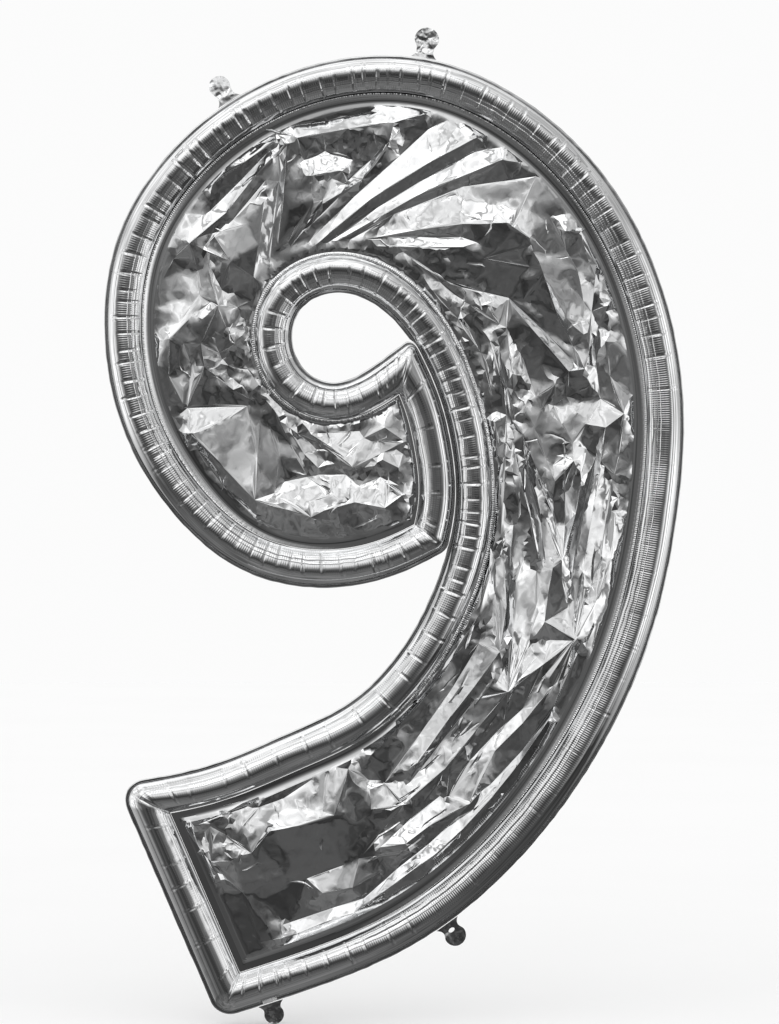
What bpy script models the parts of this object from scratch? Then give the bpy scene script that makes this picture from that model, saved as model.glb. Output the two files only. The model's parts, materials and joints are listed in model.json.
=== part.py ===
"""Foil number balloon in the shape of a 9, inflated.

One long tube, the rim, follows the outline of the number. It is welded shut along the outer
edge and along an inner seam, and a slack foil web fills the space inside the inner seam.
The balloon stands in the X-Z plane with its front facing -Y, and the front and back sheets
meet at Y = 0. Every sheet is drawn thicker than real foil so that it is a printable solid.
"""

import math

import bmesh
import bpy
import numpy as np
from mathutils import Vector
from mathutils.geometry import delaunay_2d_cdt

MM = 0.001

# Rim tube
RIM_RADIUS = 15.0 * MM
FOIL = 0.6 * MM
GAP = 0.3 * MM  # clearance between neighbouring pieces
PROFILE_STEPS = 8  # facets across half a tube

# Welded seams
SEAL_THICKNESS = 0.5 * MM
OUTER_SEAL_WIDTH = 2.7 * MM
INNER_SEAL_WIDTH = 2.0 * MM
INNER_SEAL_GAP = 0.6 * MM  # clear of the film's edge where the seam turns a corner
NARROWEST_SEAL = 0.5 * MM
SAMPLES_PER_STATION = 12
SAME_STRETCH = 90.0 * MM  # points closer than this along the rim don't abut each other

# Rounding of the tube's outer side at each corner
FOOT_CORNER = 15.0 * MM
CHIN_CORNER = 14.0 * MM
NOTCH_CORNER = 6.0 * MM
CORNER_REACH = 55.0 * MM  # how far from a corner its ribs start to fan

# Station spacing along the rim
TURN_PER_STATION = math.radians(13)
LONGEST_STEP = 32.0 * MM
SHORTEST_STEP = 3.5 * MM
STEP_GROWTH = 0.55
SPLINE_SAMPLE = 1.0 * MM
TRIM_STEP = 0.25 * MM
INNER_SPACING = 4.5 * MM  # least distance between points of the inner seam

# Tabs
TAB_NECK = 7.5 * MM
TAB_FLARE = 12.0 * MM
TAB_FLARE_LENGTH = 6.0 * MM
TAB_ROOT_GAP = 0.45 * MM  # from the hinge axis to the tab's root edge
TAB_THICKNESS = 1.0 * MM
PLY_THICKNESS = 0.5 * MM
RIBBON_HOLE_RADIUS = 3.0 * MM
RIBBON_HOLE_AT = 7.2 * MM

# Valve films
VALVE_HALF_WIDTH = 6.5 * MM
VALVE_DEPTH = 28.0 * MM
VALVE_FILM = 0.35 * MM
VALVE_CLEARANCE = 0.35 * MM
VALVE_PORT_HALF_WIDTH = 7.5 * MM
VALVE_PORT_RAMP = 2.0 * MM

# Centre line of the rim tube in millimetres, as x and z, from corner to corner.
FOOT_CORNER_TOP = (-216.5, -239.5)
FOOT_CORNER_BOTTOM = (-143, -408.5)
NOTCH_TIP = (10.5, 137.5)
CHIN_TIP = (31, -9.5)
STEM_AND_COUNTER = [
    FOOT_CORNER_TOP, (-155, -226), (-90.5, -200), (-30, -170), (19, -121.5), (52, -61),
    (68.5, -2), (69.5, 49), (55, 118), (19.5, 184), (-21, 215), (-61, 219.5), (-95.5, 199),
    (-106.5, 161.5), (-88, 120.5), (-52, 106.5), (-14, 120), NOTCH_TIP,
]
TERMINAL = [NOTCH_TIP, (25, 102.5), (32.5, 71.5), (36.5, 43), (36, 15.5), CHIN_TIP]
BOWL_AND_SPINE = [
    CHIN_TIP, (-2.5, -25.5), (-55.5, -36.5), (-123, -23.5), (-179.5, 23), (-219.5, 90.5),
    (-234.5, 167), (-223, 247.5), (-182, 313), (-113, 366), (-39.5, 389.5), (37.5, 386),
    (116.5, 346.5), (172.5, 289.5), (216, 204), (234.5, 109.5), (230.5, 21), (206.5, -92),
    (155, -201.5), (90, -285), (8, -350), (-80, -388), FOOT_CORNER_BOTTOM,
]
FOOT_END = [FOOT_CORNER_BOTTOM, FOOT_CORNER_TOP]

# Distance of each tab from the chin corner, along the bowl and spine.
TOP_LEFT_TAB_AT = 615 * MM
TOP_RIGHT_TAB_AT = 779 * MM
LOWER_RIGHT_TAB_AT = 1660 * MM
TAIL_AT = 1822 * MM

# Creases of the slack web: each line joins points given as x, z and height above the seam.
WEB_REST_HEIGHT = 1.0 * MM
WEB_CREASES = [
    [(-84, 249, 3), (5, 347, 8)],
    [(-58, 255, 3), (54, 338, 9)],
    [(-38, 255, 4), (115, 292, 9)],
    [(-12, 251, 3), (144, 260, 8)],
    [(-70, 253, 1), (31, 341, 2)],
    [(-48, 256, 1), (84, 318, 2)],
    [(-129, 209, 3), (-151, 297, 7)],
    [(-178, 245, 6), (-155, 191, 8), (-169, 157, 5), (-194, 161, 4)],
    [(-155, 191, 8), (-141, 228, 2)],
    [(-180, 102, 6), (-175, 80, 3)],
    [(-121, 22, 6), (-72, 7, 5), (-52, 27, 8), (-5, 15, 4)],
    [(-95, 42, 7), (-52, 27, 8), (-38, 50, 6)],
    [(130, 218, 5), (172, 131, 6), (156, 56, 7), (146, -31, 7)],
    [(103, 76, 6), (140, 37, 3), (157, -99, 6)],
    [(146, -31, 7), (130, -86, 3), (92, -110, 8), (100, -147, 4)],
    [(200, 97, 4), (157, -99, 6)],
    [(60, -240, 6), (74, -240, 3), (100, -147, 4)],
    [(15, -237, 5), (7, -244, 2), (-12, -283, 4)],
    [(-160, -293, 4), (-123, -285, 5), (-52, -252, 4), (15, -237, 5)],
    [(-63, -320, 3), (-12, -283, 4)],
]

# Moves the whole outline so that the finished balloon's bounding box is centred.
FRAME_SHIFT = np.array((-0.139, 0.375)) * MM


def clear_scene():
    """Remove every object of the start-up scene."""
    for obj in list(bpy.data.objects):
        bpy.data.objects.remove(obj, do_unlink=True)


def make_material(name, color, metallic, roughness):
    """A Principled material of one colour."""
    material = bpy.data.materials.new(name)
    material.use_nodes = True
    shader = material.node_tree.nodes["Principled BSDF"]
    shader.inputs["Base Color"].default_value = (*color, 1.0)
    shader.inputs["Metallic"].default_value = metallic
    shader.inputs["Roughness"].default_value = roughness
    return material


def foil_material(name):
    """Mirror-bright metallised film."""
    return make_material(name, (0.80, 0.81, 0.82), 1.0, 0.10)


def seal_material(name):
    """Foil flattened and slightly dulled by the heat seal."""
    return make_material(name, (0.66, 0.67, 0.69), 1.0, 0.28)


def valve_material(name):
    """Clear polyethylene film."""
    return make_material(name, (0.86, 0.88, 0.90), 0.0, 0.35)


def add_object(name, mesh_data, material, parent, smooth):
    """Turn a bmesh into a named object with one material."""
    mesh_data.normal_update()
    bmesh.ops.recalc_face_normals(mesh_data, faces=mesh_data.faces)
    mesh = bpy.data.meshes.new(name)
    mesh_data.to_mesh(mesh)
    mesh_data.free()
    mesh.materials.append(material)
    if smooth:
        mesh.shade_smooth()
    obj = bpy.data.objects.new(name, mesh)
    bpy.context.scene.collection.objects.link(obj)
    obj.parent = parent
    return obj


def add_empty(name, parent, location=(0.0, 0.0, 0.0), turn_about_y=0.0):
    """An empty that carries other pieces."""
    empty = bpy.data.objects.new(name, None)
    empty.empty_display_size = 20.0 * MM
    empty.location = location
    empty.rotation_euler.y = turn_about_y
    bpy.context.scene.collection.objects.link(empty)
    empty.parent = parent
    return empty


def cubic_through(knots):
    """Points every SPLINE_SAMPLE along the natural cubic spline through the knots."""
    knots = np.array(knots, float) * MM + FRAME_SHIFT
    chords = np.linalg.norm(np.diff(knots, axis=0), axis=1)
    starts = np.concatenate(([0.0], np.cumsum(chords)))
    count = len(knots)
    system = np.eye(count)
    right = np.zeros((count, 2))
    for i in range(1, count - 1):
        system[i, i - 1 : i + 2] = (chords[i - 1], 2 * (chords[i - 1] + chords[i]), chords[i])
        slope_after = (knots[i + 1] - knots[i]) / chords[i]
        slope_before = (knots[i] - knots[i - 1]) / chords[i - 1]
        right[i] = 6 * (slope_after - slope_before)
    bend = np.linalg.solve(system, right)
    at = np.linspace(0, starts[-1], int(starts[-1] / SPLINE_SAMPLE) * 2)
    piece = np.clip(np.searchsorted(starts, at, side="right") - 1, 0, count - 2)
    chord = chords[piece][:, None]
    after = (at - starts[piece])[:, None] / chord
    before = 1 - after
    curve = before * knots[piece] + after * knots[piece + 1]
    curve += ((before**3 - before) * bend[piece] + (after**3 - after) * bend[piece + 1]) * chord**2 / 6
    travelled = np.concatenate(([0.0], np.cumsum(np.linalg.norm(np.diff(curve, axis=0), axis=1))))
    even = np.linspace(0, travelled[-1], max(2, int(round(travelled[-1] / SPLINE_SAMPLE)) + 1))
    columns = [np.interp(even, travelled, curve[:, axis]) for axis in (0, 1)]
    return even, np.column_stack(columns)


def turn_between(before, after):
    """Angle in radians between two unit directions."""
    return math.acos(max(-1.0, min(1.0, float(before @ after))))


class Corner:
    """A corner between two runs of the rim."""

    def __init__(self, rounding):
        self.rounding = rounding
        self.turn = 0.0
        self.trim_before = 0.0
        self.trim_after = 0.0

    @property
    def straight(self):
        """How far the outer side runs on straight before it rounds the corner."""
        return (RIM_RADIUS - self.rounding) * math.tan(self.turn / 2)

    @property
    def outer_reach(self):
        """Length that the outer side gains up to the corner's diagonal."""
        return self.straight + self.rounding * self.turn / 2

    def join(self, run, following):
        """Measure the turn between two runs and where their inner sides cross."""
        self.turn = turn_between(run.direction(run.length), following.direction(0.0))
        trims = np.arange(0.0, CORNER_REACH / 2, TRIM_STEP)
        before = np.array([run.side_point(run.length - trim, -1) for trim in trims])
        after = np.array([following.side_point(trim, -1) for trim in trims])
        apart = np.linalg.norm(before[:, None] - after[None], axis=2)
        last, first = np.unravel_index(np.argmin(apart), apart.shape)
        self.trim_before = trims[last]
        self.trim_after = trims[first]


class Run:
    """One smooth stretch of the rim between two corners; its outer side is on its left."""

    def __init__(self, knots, start, end):
        self.at, self.points = cubic_through(knots)
        self.length = self.at[-1]
        along = np.gradient(self.points, axis=0)
        self.along = along / np.linalg.norm(along, axis=1)[:, None]
        self.start = start
        self.end = end

    def sample(self, table, distance):
        """Value of a per-point table at a distance along the run."""
        return np.array([np.interp(distance, self.at, table[:, axis]) for axis in (0, 1)])

    def direction(self, distance):
        """Unit direction of the run at a distance along it."""
        along = self.sample(self.along, distance)
        return along / np.linalg.norm(along)

    def fades(self, distance):
        """How strongly the start corner and the end corner act at a distance."""
        reach = min(CORNER_REACH, self.length / 2)
        near_start = max(0.0, 1 - distance / reach)
        near_end = max(0.0, 1 - (self.length - distance) / reach)
        return near_start**2, near_end**2

    def side_point(self, distance, side):
        """Point on the tube's outer (+1) or inner (-1) silhouette."""
        clamped = min(max(distance, 0.0), self.length)
        along = self.direction(clamped)
        outward = np.array((-along[1], along[0]))
        return self.sample(self.points, clamped) + side * RIM_RADIUS * outward

    def outer_point(self, distance):
        """Outer silhouette point, which may lie beyond the run's ends, round the corner."""
        if 0.0 <= distance <= self.length:
            return self.side_point(distance, 1)
        at_start = distance < 0.0
        corner = self.start if at_start else self.end
        beyond = -distance if at_start else distance - self.length
        edge = 0.0 if at_start else self.length
        onward = self.direction(edge) * (-1 if at_start else 1)
        outward = np.array((-self.direction(edge)[1], self.direction(edge)[0]))
        base = self.side_point(edge, 1)
        if beyond <= corner.straight:
            return base + onward * beyond
        angle = (beyond - corner.straight) / corner.rounding
        centre = base - outward * corner.rounding + onward * corner.straight
        return centre + corner.rounding * (math.cos(angle) * outward + math.sin(angle) * onward)

    def outer_distance(self, distance):
        """Where on the outer side the rib of this distance ends."""
        near_start, near_end = self.fades(distance)
        return distance - near_start * self.start.outer_reach + near_end * self.end.outer_reach

    def rib(self, distance):
        """Outer and inner silhouette points of the rib that crosses the run."""
        near_start, near_end = self.fades(distance)
        inner_at = distance + near_start * self.start.trim_after - near_end * self.end.trim_before
        outer_at = self.outer_distance(distance)
        return self.outer_point(outer_at), self.side_point(inner_at, -1)

    def stations(self):
        """Distances of the ribs: close together at corners and in tight bends."""
        heading = np.unwrap(np.arctan2(self.along[:, 1], self.along[:, 0]))
        turned = np.concatenate(([0.0], np.cumsum(np.abs(np.diff(heading)))))
        places = [0.0]
        while places[-1] < self.length:
            here = places[-1]
            turn_limit = np.interp(here, self.at, turned) + TURN_PER_STATION
            by_turn = np.interp(turn_limit, turned, self.at) - here
            leaving = SHORTEST_STEP + STEP_GROWTH * here
            arriving = (SHORTEST_STEP + STEP_GROWTH * (self.length - here)) / (1 + STEP_GROWTH)
            places.append(here + min(by_turn, leaving, arriving, LONGEST_STEP))
        scale = self.length / places[-1]
        return [place * scale for place in places[:-1]]


def build_runs():
    """The rim's four runs, in order round the outline."""
    foot_top = Corner(FOOT_CORNER)
    notch = Corner(NOTCH_CORNER)
    chin = Corner(CHIN_CORNER)
    foot_bottom = Corner(FOOT_CORNER)
    runs = [
        Run(STEM_AND_COUNTER, foot_top, notch),
        Run(TERMINAL, notch, chin),
        Run(BOWL_AND_SPINE, chin, foot_bottom),
        Run(FOOT_END, foot_bottom, foot_top),
    ]
    for run, following in zip(runs, runs[1:] + runs[:1]):
        run.end.join(run, following)
    return runs


def rim_ribs(runs):
    """Outer and inner rib points round the whole rim, which ribs the valve's port takes up,
    and which ribs lie on a corner's diagonal."""
    port = [
        (TAIL_AT - VALVE_PORT_HALF_WIDTH - VALVE_PORT_RAMP, False),
        (TAIL_AT - VALVE_PORT_HALF_WIDTH, True),
        (TAIL_AT + VALVE_PORT_HALF_WIDTH, True),
        (TAIL_AT + VALVE_PORT_HALF_WIDTH + VALVE_PORT_RAMP, False),
    ]
    ribs = []
    in_port = []
    diagonals = []
    for index, run in enumerate(runs):
        diagonals.append(len(ribs))
        places = [(place, False) for place in run.stations()]
        if index == 2:
            clear = VALVE_PORT_HALF_WIDTH + VALVE_PORT_RAMP + SHORTEST_STEP / 2
            places = [place for place in places if abs(place[0] - TAIL_AT) > clear] + port
            places.sort()
        for place, inside in places:
            ribs.append(run.rib(place))
            in_port.append(inside)
    outer = np.array([rib[0] for rib in ribs])
    inner = np.array([rib[1] for rib in ribs])
    return outer, inner, in_port, diagonals


def inner_line(inner, diagonals):
    """The inner seam with its four corners kept and the crowded points next to them left out."""
    kept = []
    for first, last in zip(diagonals, diagonals[1:] + [len(inner)]):
        corner = inner[first]
        next_corner = inner[last % len(inner)]
        kept.append(corner)
        for point in inner[first + 1 : last]:
            clear_behind = np.linalg.norm(point - kept[-1]) > INNER_SPACING
            clear_ahead = np.linalg.norm(point - next_corner) > INNER_SPACING
            if clear_behind and clear_ahead:
                kept.append(point)
    return np.array(kept)


def ring_normals(ring):
    """Mitred normals of a closed ring of points, pointing to its left."""
    ahead = np.roll(ring, -1, axis=0) - ring
    ahead /= np.linalg.norm(ahead, axis=1)[:, None]
    left = np.column_stack((-ahead[:, 1], ahead[:, 0]))
    mitre = left + np.roll(left, 1, axis=0)
    mitre /= np.linalg.norm(mitre, axis=1)[:, None]
    stretch = np.clip((mitre * left).sum(axis=1), 0.5, 1.0)
    return mitre / stretch[:, None]


def free_space(ring):
    """Least distance near each point of the ring to another stretch of the ring."""
    parts = np.arange(SAMPLES_PER_STATION) / SAMPLES_PER_STATION
    ahead = np.roll(ring, -1, axis=0) - ring
    dense = (ring[:, None] + ahead[:, None] * parts[None, :, None]).reshape(-1, 2)
    steps = np.linalg.norm(np.roll(dense, -1, axis=0) - dense, axis=1)
    travelled = np.cumsum(steps) - steps
    space = []
    for point, at in zip(dense, travelled):
        separation = np.abs(travelled - at)
        separation = np.minimum(separation, steps.sum() - separation)
        others = dense[separation > SAME_STRETCH]
        space.append(np.linalg.norm(others - point, axis=1).min())
    per_station = np.array(space).reshape(len(ring), SAMPLES_PER_STATION).min(axis=1)
    return np.minimum(per_station, np.roll(per_station, 1))


def outer_seal_widths(ring):
    """Seal width at each rib: full, or narrower where two stretches of rim abut."""
    shared = (free_space(ring) - GAP) / 2 - GAP
    return np.clip(shared, NARROWEST_SEAL, OUTER_SEAL_WIDTH)


def swept_body(name, rings, closed, material, parent, smooth):
    """A solid from equal cross-section loops, joined round a closed or an open path."""
    mesh_data = bmesh.new()
    loops = [[mesh_data.verts.new(point) for point in ring] for ring in rings]
    pairs = list(zip(loops, loops[1:]))
    if closed:
        pairs.append((loops[-1], loops[0]))
    size = len(loops[0])
    for here, there in pairs:
        for k in range(size):
            following = (k + 1) % size
            mesh_data.faces.new((here[k], here[following], there[following], there[k]))
    if not closed:
        mesh_data.faces.new(loops[0])
        mesh_data.faces.new(reversed(loops[-1]))
    return add_object(name, mesh_data, material, parent, smooth)


def tube_profile(outer, inner, edge, side):
    """Cross-section loop of one rim film on one rib; side is -1 for the front, +1 for the back."""
    middle = (outer + inner) / 2
    reach = (outer - inner) / 2
    half = np.linalg.norm(reach)
    reach /= half
    loop = []
    for width, height, order in (
        (half, RIM_RADIUS, range(PROFILE_STEPS + 1)),
        (half - FOIL, RIM_RADIUS - FOIL, range(PROFILE_STEPS, -1, -1)),
    ):
        for step in order:
            angle = math.pi * step / PROFILE_STEPS
            place = middle + reach * width * math.cos(angle)
            rise = height * math.sin(angle)
            if step == 0:
                rise = edge
            if step == PROFILE_STEPS:
                rise = GAP / 2
            loop.append((place[0], side * rise, place[1]))
    return loop


def build_rim_film(name, side, outer, inner, in_port, parent):
    """The front or back half of the inflated rim tube."""
    port_edge = VALVE_FILM + GAP / 2 + VALVE_CLEARANCE
    rings = []
    for i in range(len(outer)):
        edge = port_edge if in_port[i] else GAP / 2
        rings.append(tube_profile(outer[i], inner[i], edge, side))
    return swept_body(name, rings, True, foil_material(name), parent, True)


def band_ring(near, far):
    """Rectangular cross-section loop of a seal between two plan points."""
    half = SEAL_THICKNESS / 2
    return [
        (near[0], -half, near[1]),
        (far[0], -half, far[1]),
        (far[0], half, far[1]),
        (near[0], half, near[1]),
    ]


def build_outer_seal(outer, in_port, parent):
    """The welded flange round the outside, open where the valve passes through it."""
    normals = ring_normals(outer)
    widths = outer_seal_widths(outer)
    near = outer + normals * GAP
    far = outer + normals * (GAP + widths[:, None])
    first = in_port.index(True) + 1
    order = list(range(first, len(outer))) + list(range(first))
    rings = [band_ring(near[i], far[i]) for i in order]
    return swept_body("outer_heat_seal", rings, False, seal_material("outer_heat_seal"), parent, False)


def build_inner_seal(seam, parent):
    """The weld between the rim tube and the web."""
    normals = ring_normals(seam)
    near = seam - normals * INNER_SEAL_GAP
    far = seam - normals * (INNER_SEAL_GAP + INNER_SEAL_WIDTH)
    rings = [band_ring(near[i], far[i]) for i in range(len(seam))]
    return swept_body("inner_heat_seal", rings, True, seal_material("inner_heat_seal"), parent, False)


def web_plan(seam):
    """Triangles of the web in plan, with its creases as edges, and each point's height."""
    border = seam - ring_normals(seam) * (INNER_SEAL_GAP + INNER_SEAL_WIDTH + GAP)
    points = [tuple(point) for point in border]
    heights = [0.0] * len(points)
    edges = [(i, (i + 1) % len(points)) for i in range(len(points))]
    known = {}
    for crease in WEB_CREASES:
        previous = None
        for x, z, height in crease:
            if (x, z) not in known:
                known[(x, z)] = len(points)
                place = np.array((x, z)) * MM + FRAME_SHIFT
                points.append(tuple(place))
                heights.append(WEB_REST_HEIGHT + height * MM)
            if previous is not None:
                edges.append((previous, known[(x, z)]))
            previous = known[(x, z)]
    verts, _, faces, sources, _, _ = delaunay_2d_cdt([Vector(p) for p in points], edges, [], 1, 1e-7)
    lifted = []
    for vert, source in zip(verts, sources):
        lifted.append(heights[source[0]] if source else WEB_REST_HEIGHT)
    return verts, lifted, faces


def build_web_film(name, side, plan, parent):
    """The front or back sheet of the web, slack and creased."""
    verts, heights, faces = plan
    mesh_data = bmesh.new()
    layers = []
    for lift in (GAP / 2, GAP / 2 + FOIL):
        layer = [
            mesh_data.verts.new((vert.x, side * (height + lift), vert.y))
            for vert, height in zip(verts, heights)
        ]
        layers.append(layer)
    used = {}
    for face in faces:
        mesh_data.faces.new([layers[0][i] for i in face])
        mesh_data.faces.new([layers[1][i] for i in reversed(face)])
        for a, b in zip(face, face[1:] + face[:1]):
            key = (min(a, b), max(a, b))
            used[key] = None if key in used else (a, b)
    for ends in used.values():
        if ends is not None:
            a, b = ends
            mesh_data.faces.new((layers[0][a], layers[0][b], layers[1][b], layers[1][a]))
    return add_object(name, mesh_data, foil_material(name), parent, False)


def smoothstep(value):
    """Ease from 0 to 1."""
    value = min(max(value, 0.0), 1.0)
    return value * value * (3 - 2 * value)


def tab_outline(length, head_radius):
    """Half-width and distance pairs from the tab's root to its round tip."""
    body = length - head_radius
    steps = 8
    outline = []
    for step in range(steps + 1):
        distance = TAB_ROOT_GAP + (body - TAB_ROOT_GAP) * step / steps
        flare = max(0.0, 1 - distance / TAB_FLARE_LENGTH) ** 2 * (TAB_FLARE - TAB_NECK)
        swell = smoothstep((distance - body / 2) / (body / 2)) * (head_radius - TAB_NECK)
        outline.append((TAB_NECK + flare + swell, distance))
    for step in range(1, 5):
        angle = math.radians(90) * step / 5
        outline.append((head_radius * math.cos(angle), body + head_radius * math.sin(angle)))
    return outline


def build_tab_plate(name, length, head_radius, front, back, parent):
    """A flat tab standing along local Z from its hinge axis, between two Y levels."""
    half = tab_outline(length, head_radius)
    loop = [(-width, distance) for width, distance in half]
    loop.append((0.0, length))
    loop += [(width, distance) for width, distance in reversed(half)]
    mesh_data = bmesh.new()
    sides = [[mesh_data.verts.new((x, y, z)) for x, z in loop] for y in (front, back)]
    mesh_data.faces.new(sides[0])
    mesh_data.faces.new(reversed(sides[1]))
    for k in range(len(loop)):
        following = (k + 1) % len(loop)
        mesh_data.faces.new((sides[0][k], sides[0][following], sides[1][following], sides[1][k]))
    return add_object(name, mesh_data, foil_material(name), parent, False)


def punch_ribbon_hole(tab):
    """Cut the ribbon hole through a hanging tab's neck."""
    mesh_data = bmesh.new()
    bmesh.ops.create_cone(
        mesh_data,
        cap_ends=True,
        segments=16,
        radius1=RIBBON_HOLE_RADIUS,
        radius2=RIBBON_HOLE_RADIUS,
        depth=4 * TAB_THICKNESS,
    )
    for vert in mesh_data.verts:
        vert.co = Vector((vert.co.x, vert.co.z, vert.co.y + RIBBON_HOLE_AT))
    punch = add_object(tab.name + "_punch", mesh_data, tab.data.materials[0], tab, False)
    punch.hide_render = True
    punch.display_type = "WIRE"
    cut = tab.modifiers.new("ribbon_hole", "BOOLEAN")
    cut.operation = "DIFFERENCE"
    cut.solver = "EXACT"
    cut.object = punch


def hinge_place(run, distance):
    """World place on the seal's outer edge and the turn about Y that aims local Z outward."""
    edge_at = run.outer_distance(distance)
    along = run.direction(edge_at)
    outward = np.array((-along[1], along[0]))
    edge = GAP + OUTER_SEAL_WIDTH + GAP / 2
    place = run.side_point(edge_at, 1) + outward * edge
    return (place[0], 0.0, place[1]), math.atan2(outward[0], outward[1])


def build_hanging_tab(name, run, distance, length, head_radius, parent):
    """A sealed two-ply tab with a ribbon hole; its origin is on its hinge line."""
    place, turn = hinge_place(run, distance)
    half = TAB_THICKNESS / 2
    tab = build_tab_plate(name, length, head_radius, -half, half, parent)
    tab.location = place
    tab.rotation_euler.y = turn
    punch_ribbon_hole(tab)


def build_inflation_tail(run, length, head_radius, parent):
    """The open two-ply tail that the balloon is filled through."""
    place, turn = hinge_place(run, TAIL_AT)
    hinge = add_empty("inflation_tail_hinge", parent, place, turn)
    near = GAP / 2
    far = near + PLY_THICKNESS
    build_tab_plate("tail_front_ply", length, head_radius, -far, -near, hinge)
    build_tab_plate("tail_back_ply", length, head_radius, near, far, hinge)


def build_valve_film(name, side, run, parent):
    """One of the two plastic films of the self-closing valve, inside the tube."""
    place, turn = hinge_place(run, TAIL_AT)
    near = GAP / 2
    far = near + VALVE_FILM
    mesh_data = bmesh.new()
    bmesh.ops.create_cube(mesh_data, size=1.0)
    for vert in mesh_data.verts:
        vert.co.x *= 2 * VALVE_HALF_WIDTH
        vert.co.y = side * (far if vert.co.y > 0 else near)
        vert.co.z = -GAP if vert.co.z > 0 else -VALVE_DEPTH
    film = add_object(name, mesh_data, valve_material(name), parent, False)
    film.location = place
    film.rotation_euler.y = turn


def build_balloon():
    """Build every piece under one parent."""
    clear_scene()
    balloon = add_empty("balloon", None)
    runs = build_runs()
    outer, inner, in_port, diagonals = rim_ribs(runs)
    build_rim_film("front_rim_film", -1, outer, inner, in_port, balloon)
    build_rim_film("back_rim_film", 1, outer, inner, in_port, balloon)
    build_outer_seal(outer, in_port, balloon)
    seam = inner_line(inner, diagonals)
    build_inner_seal(seam, balloon)
    plan = web_plan(seam)
    build_web_film("front_web_film", -1, plan, balloon)
    build_web_film("back_web_film", 1, plan, balloon)
    spine = runs[2]
    build_hanging_tab("hanging_tab_top_left", spine, TOP_LEFT_TAB_AT, 25.5 * MM, 9.3 * MM, balloon)
    build_hanging_tab("hanging_tab_top_right", spine, TOP_RIGHT_TAB_AT, 27.5 * MM, 10.7 * MM, balloon)
    build_hanging_tab("hanging_tab_lower_right", spine, LOWER_RIGHT_TAB_AT, 22.0 * MM, 9.5 * MM, balloon)
    build_inflation_tail(spine, 19.0 * MM, 8.6 * MM, balloon)
    build_valve_film("valve_front_film", -1, spine, balloon)
    build_valve_film("valve_back_film", 1, spine, balloon)


build_balloon()
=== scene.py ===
"""Looks of the inflated foil number balloon: puckered rim tube, crumpled web, flange and tabs.

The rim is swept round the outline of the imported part, the web is a creased sheet inside it,
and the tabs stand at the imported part's own hinges. The front faces -Y.
"""

import json
import math

import bpy
import numpy as np
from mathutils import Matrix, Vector
from mathutils.geometry import delaunay_2d_cdt


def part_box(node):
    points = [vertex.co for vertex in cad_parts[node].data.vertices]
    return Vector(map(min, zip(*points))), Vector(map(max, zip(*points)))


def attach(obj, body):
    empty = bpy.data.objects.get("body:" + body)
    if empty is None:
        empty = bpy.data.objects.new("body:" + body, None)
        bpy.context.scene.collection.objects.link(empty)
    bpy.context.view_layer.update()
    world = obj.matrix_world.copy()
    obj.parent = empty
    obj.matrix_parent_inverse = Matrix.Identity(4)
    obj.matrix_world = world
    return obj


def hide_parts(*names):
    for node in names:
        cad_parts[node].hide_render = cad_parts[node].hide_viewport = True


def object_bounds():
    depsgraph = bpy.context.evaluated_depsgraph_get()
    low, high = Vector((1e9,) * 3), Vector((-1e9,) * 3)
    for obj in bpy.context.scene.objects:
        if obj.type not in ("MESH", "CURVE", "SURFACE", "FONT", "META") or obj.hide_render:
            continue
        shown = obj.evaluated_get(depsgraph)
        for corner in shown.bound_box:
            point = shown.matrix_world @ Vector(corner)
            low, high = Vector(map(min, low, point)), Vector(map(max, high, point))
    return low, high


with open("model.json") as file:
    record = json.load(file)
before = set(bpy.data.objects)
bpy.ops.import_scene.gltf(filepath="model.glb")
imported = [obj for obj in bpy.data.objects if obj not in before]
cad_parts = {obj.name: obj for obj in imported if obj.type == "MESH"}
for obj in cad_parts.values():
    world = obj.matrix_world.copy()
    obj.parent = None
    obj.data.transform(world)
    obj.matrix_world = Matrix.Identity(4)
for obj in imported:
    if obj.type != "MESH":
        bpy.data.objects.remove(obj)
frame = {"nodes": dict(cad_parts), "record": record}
cad_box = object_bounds()

MM = 0.001
FRONT, BACK = -1, 1
SEEDS = {
    "front_rim_film": 11, "back_rim_film": 12,
    "front_web_film": 21, "back_web_film": 22,
    "outer_heat_seal": 31,
    "hanging_tab_top_left": 41, "hanging_tab_top_right": 42, "hanging_tab_lower_right": 43,
    "tail_front_ply": 44, "tail_back_ply": 45,
}

# Outline of the rim tube's centre line in millimetres, as x and z, from corner to corner.
FOOT_CORNER_TOP = (-216.5, -239.5)
FOOT_CORNER_BOTTOM = (-143, -408.5)
NOTCH_TIP = (10.5, 137.5)
CHIN_TIP = (31, -9.5)
STEM_AND_COUNTER = [
    FOOT_CORNER_TOP, (-155, -226), (-90.5, -200), (-30, -170), (19, -121.5), (52, -61),
    (68.5, -2), (69.5, 49), (55, 118), (19.5, 184), (-21, 215), (-61, 219.5), (-95.5, 199),
    (-106.5, 161.5), (-88, 120.5), (-52, 106.5), (-14, 120), NOTCH_TIP,
]
TERMINAL = [NOTCH_TIP, (25, 102.5), (32.5, 71.5), (36.5, 43), (36, 15.5), CHIN_TIP]
BOWL_AND_SPINE = [
    CHIN_TIP, (-2.5, -25.5), (-55.5, -36.5), (-123, -23.5), (-179.5, 23), (-219.5, 90.5),
    (-234.5, 167), (-223, 247.5), (-182, 313), (-113, 366), (-39.5, 389.5), (37.5, 386),
    (116.5, 346.5), (172.5, 289.5), (216, 204), (234.5, 109.5), (230.5, 21), (206.5, -92),
    (155, -201.5), (90, -285), (8, -350), (-80, -388), FOOT_CORNER_BOTTOM,
]
FOOT_END = [FOOT_CORNER_BOTTOM, FOOT_CORNER_TOP]
STEM_RUN, TERMINAL_RUN, BOWL_RUN, FOOT_RUN = range(4)

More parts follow.
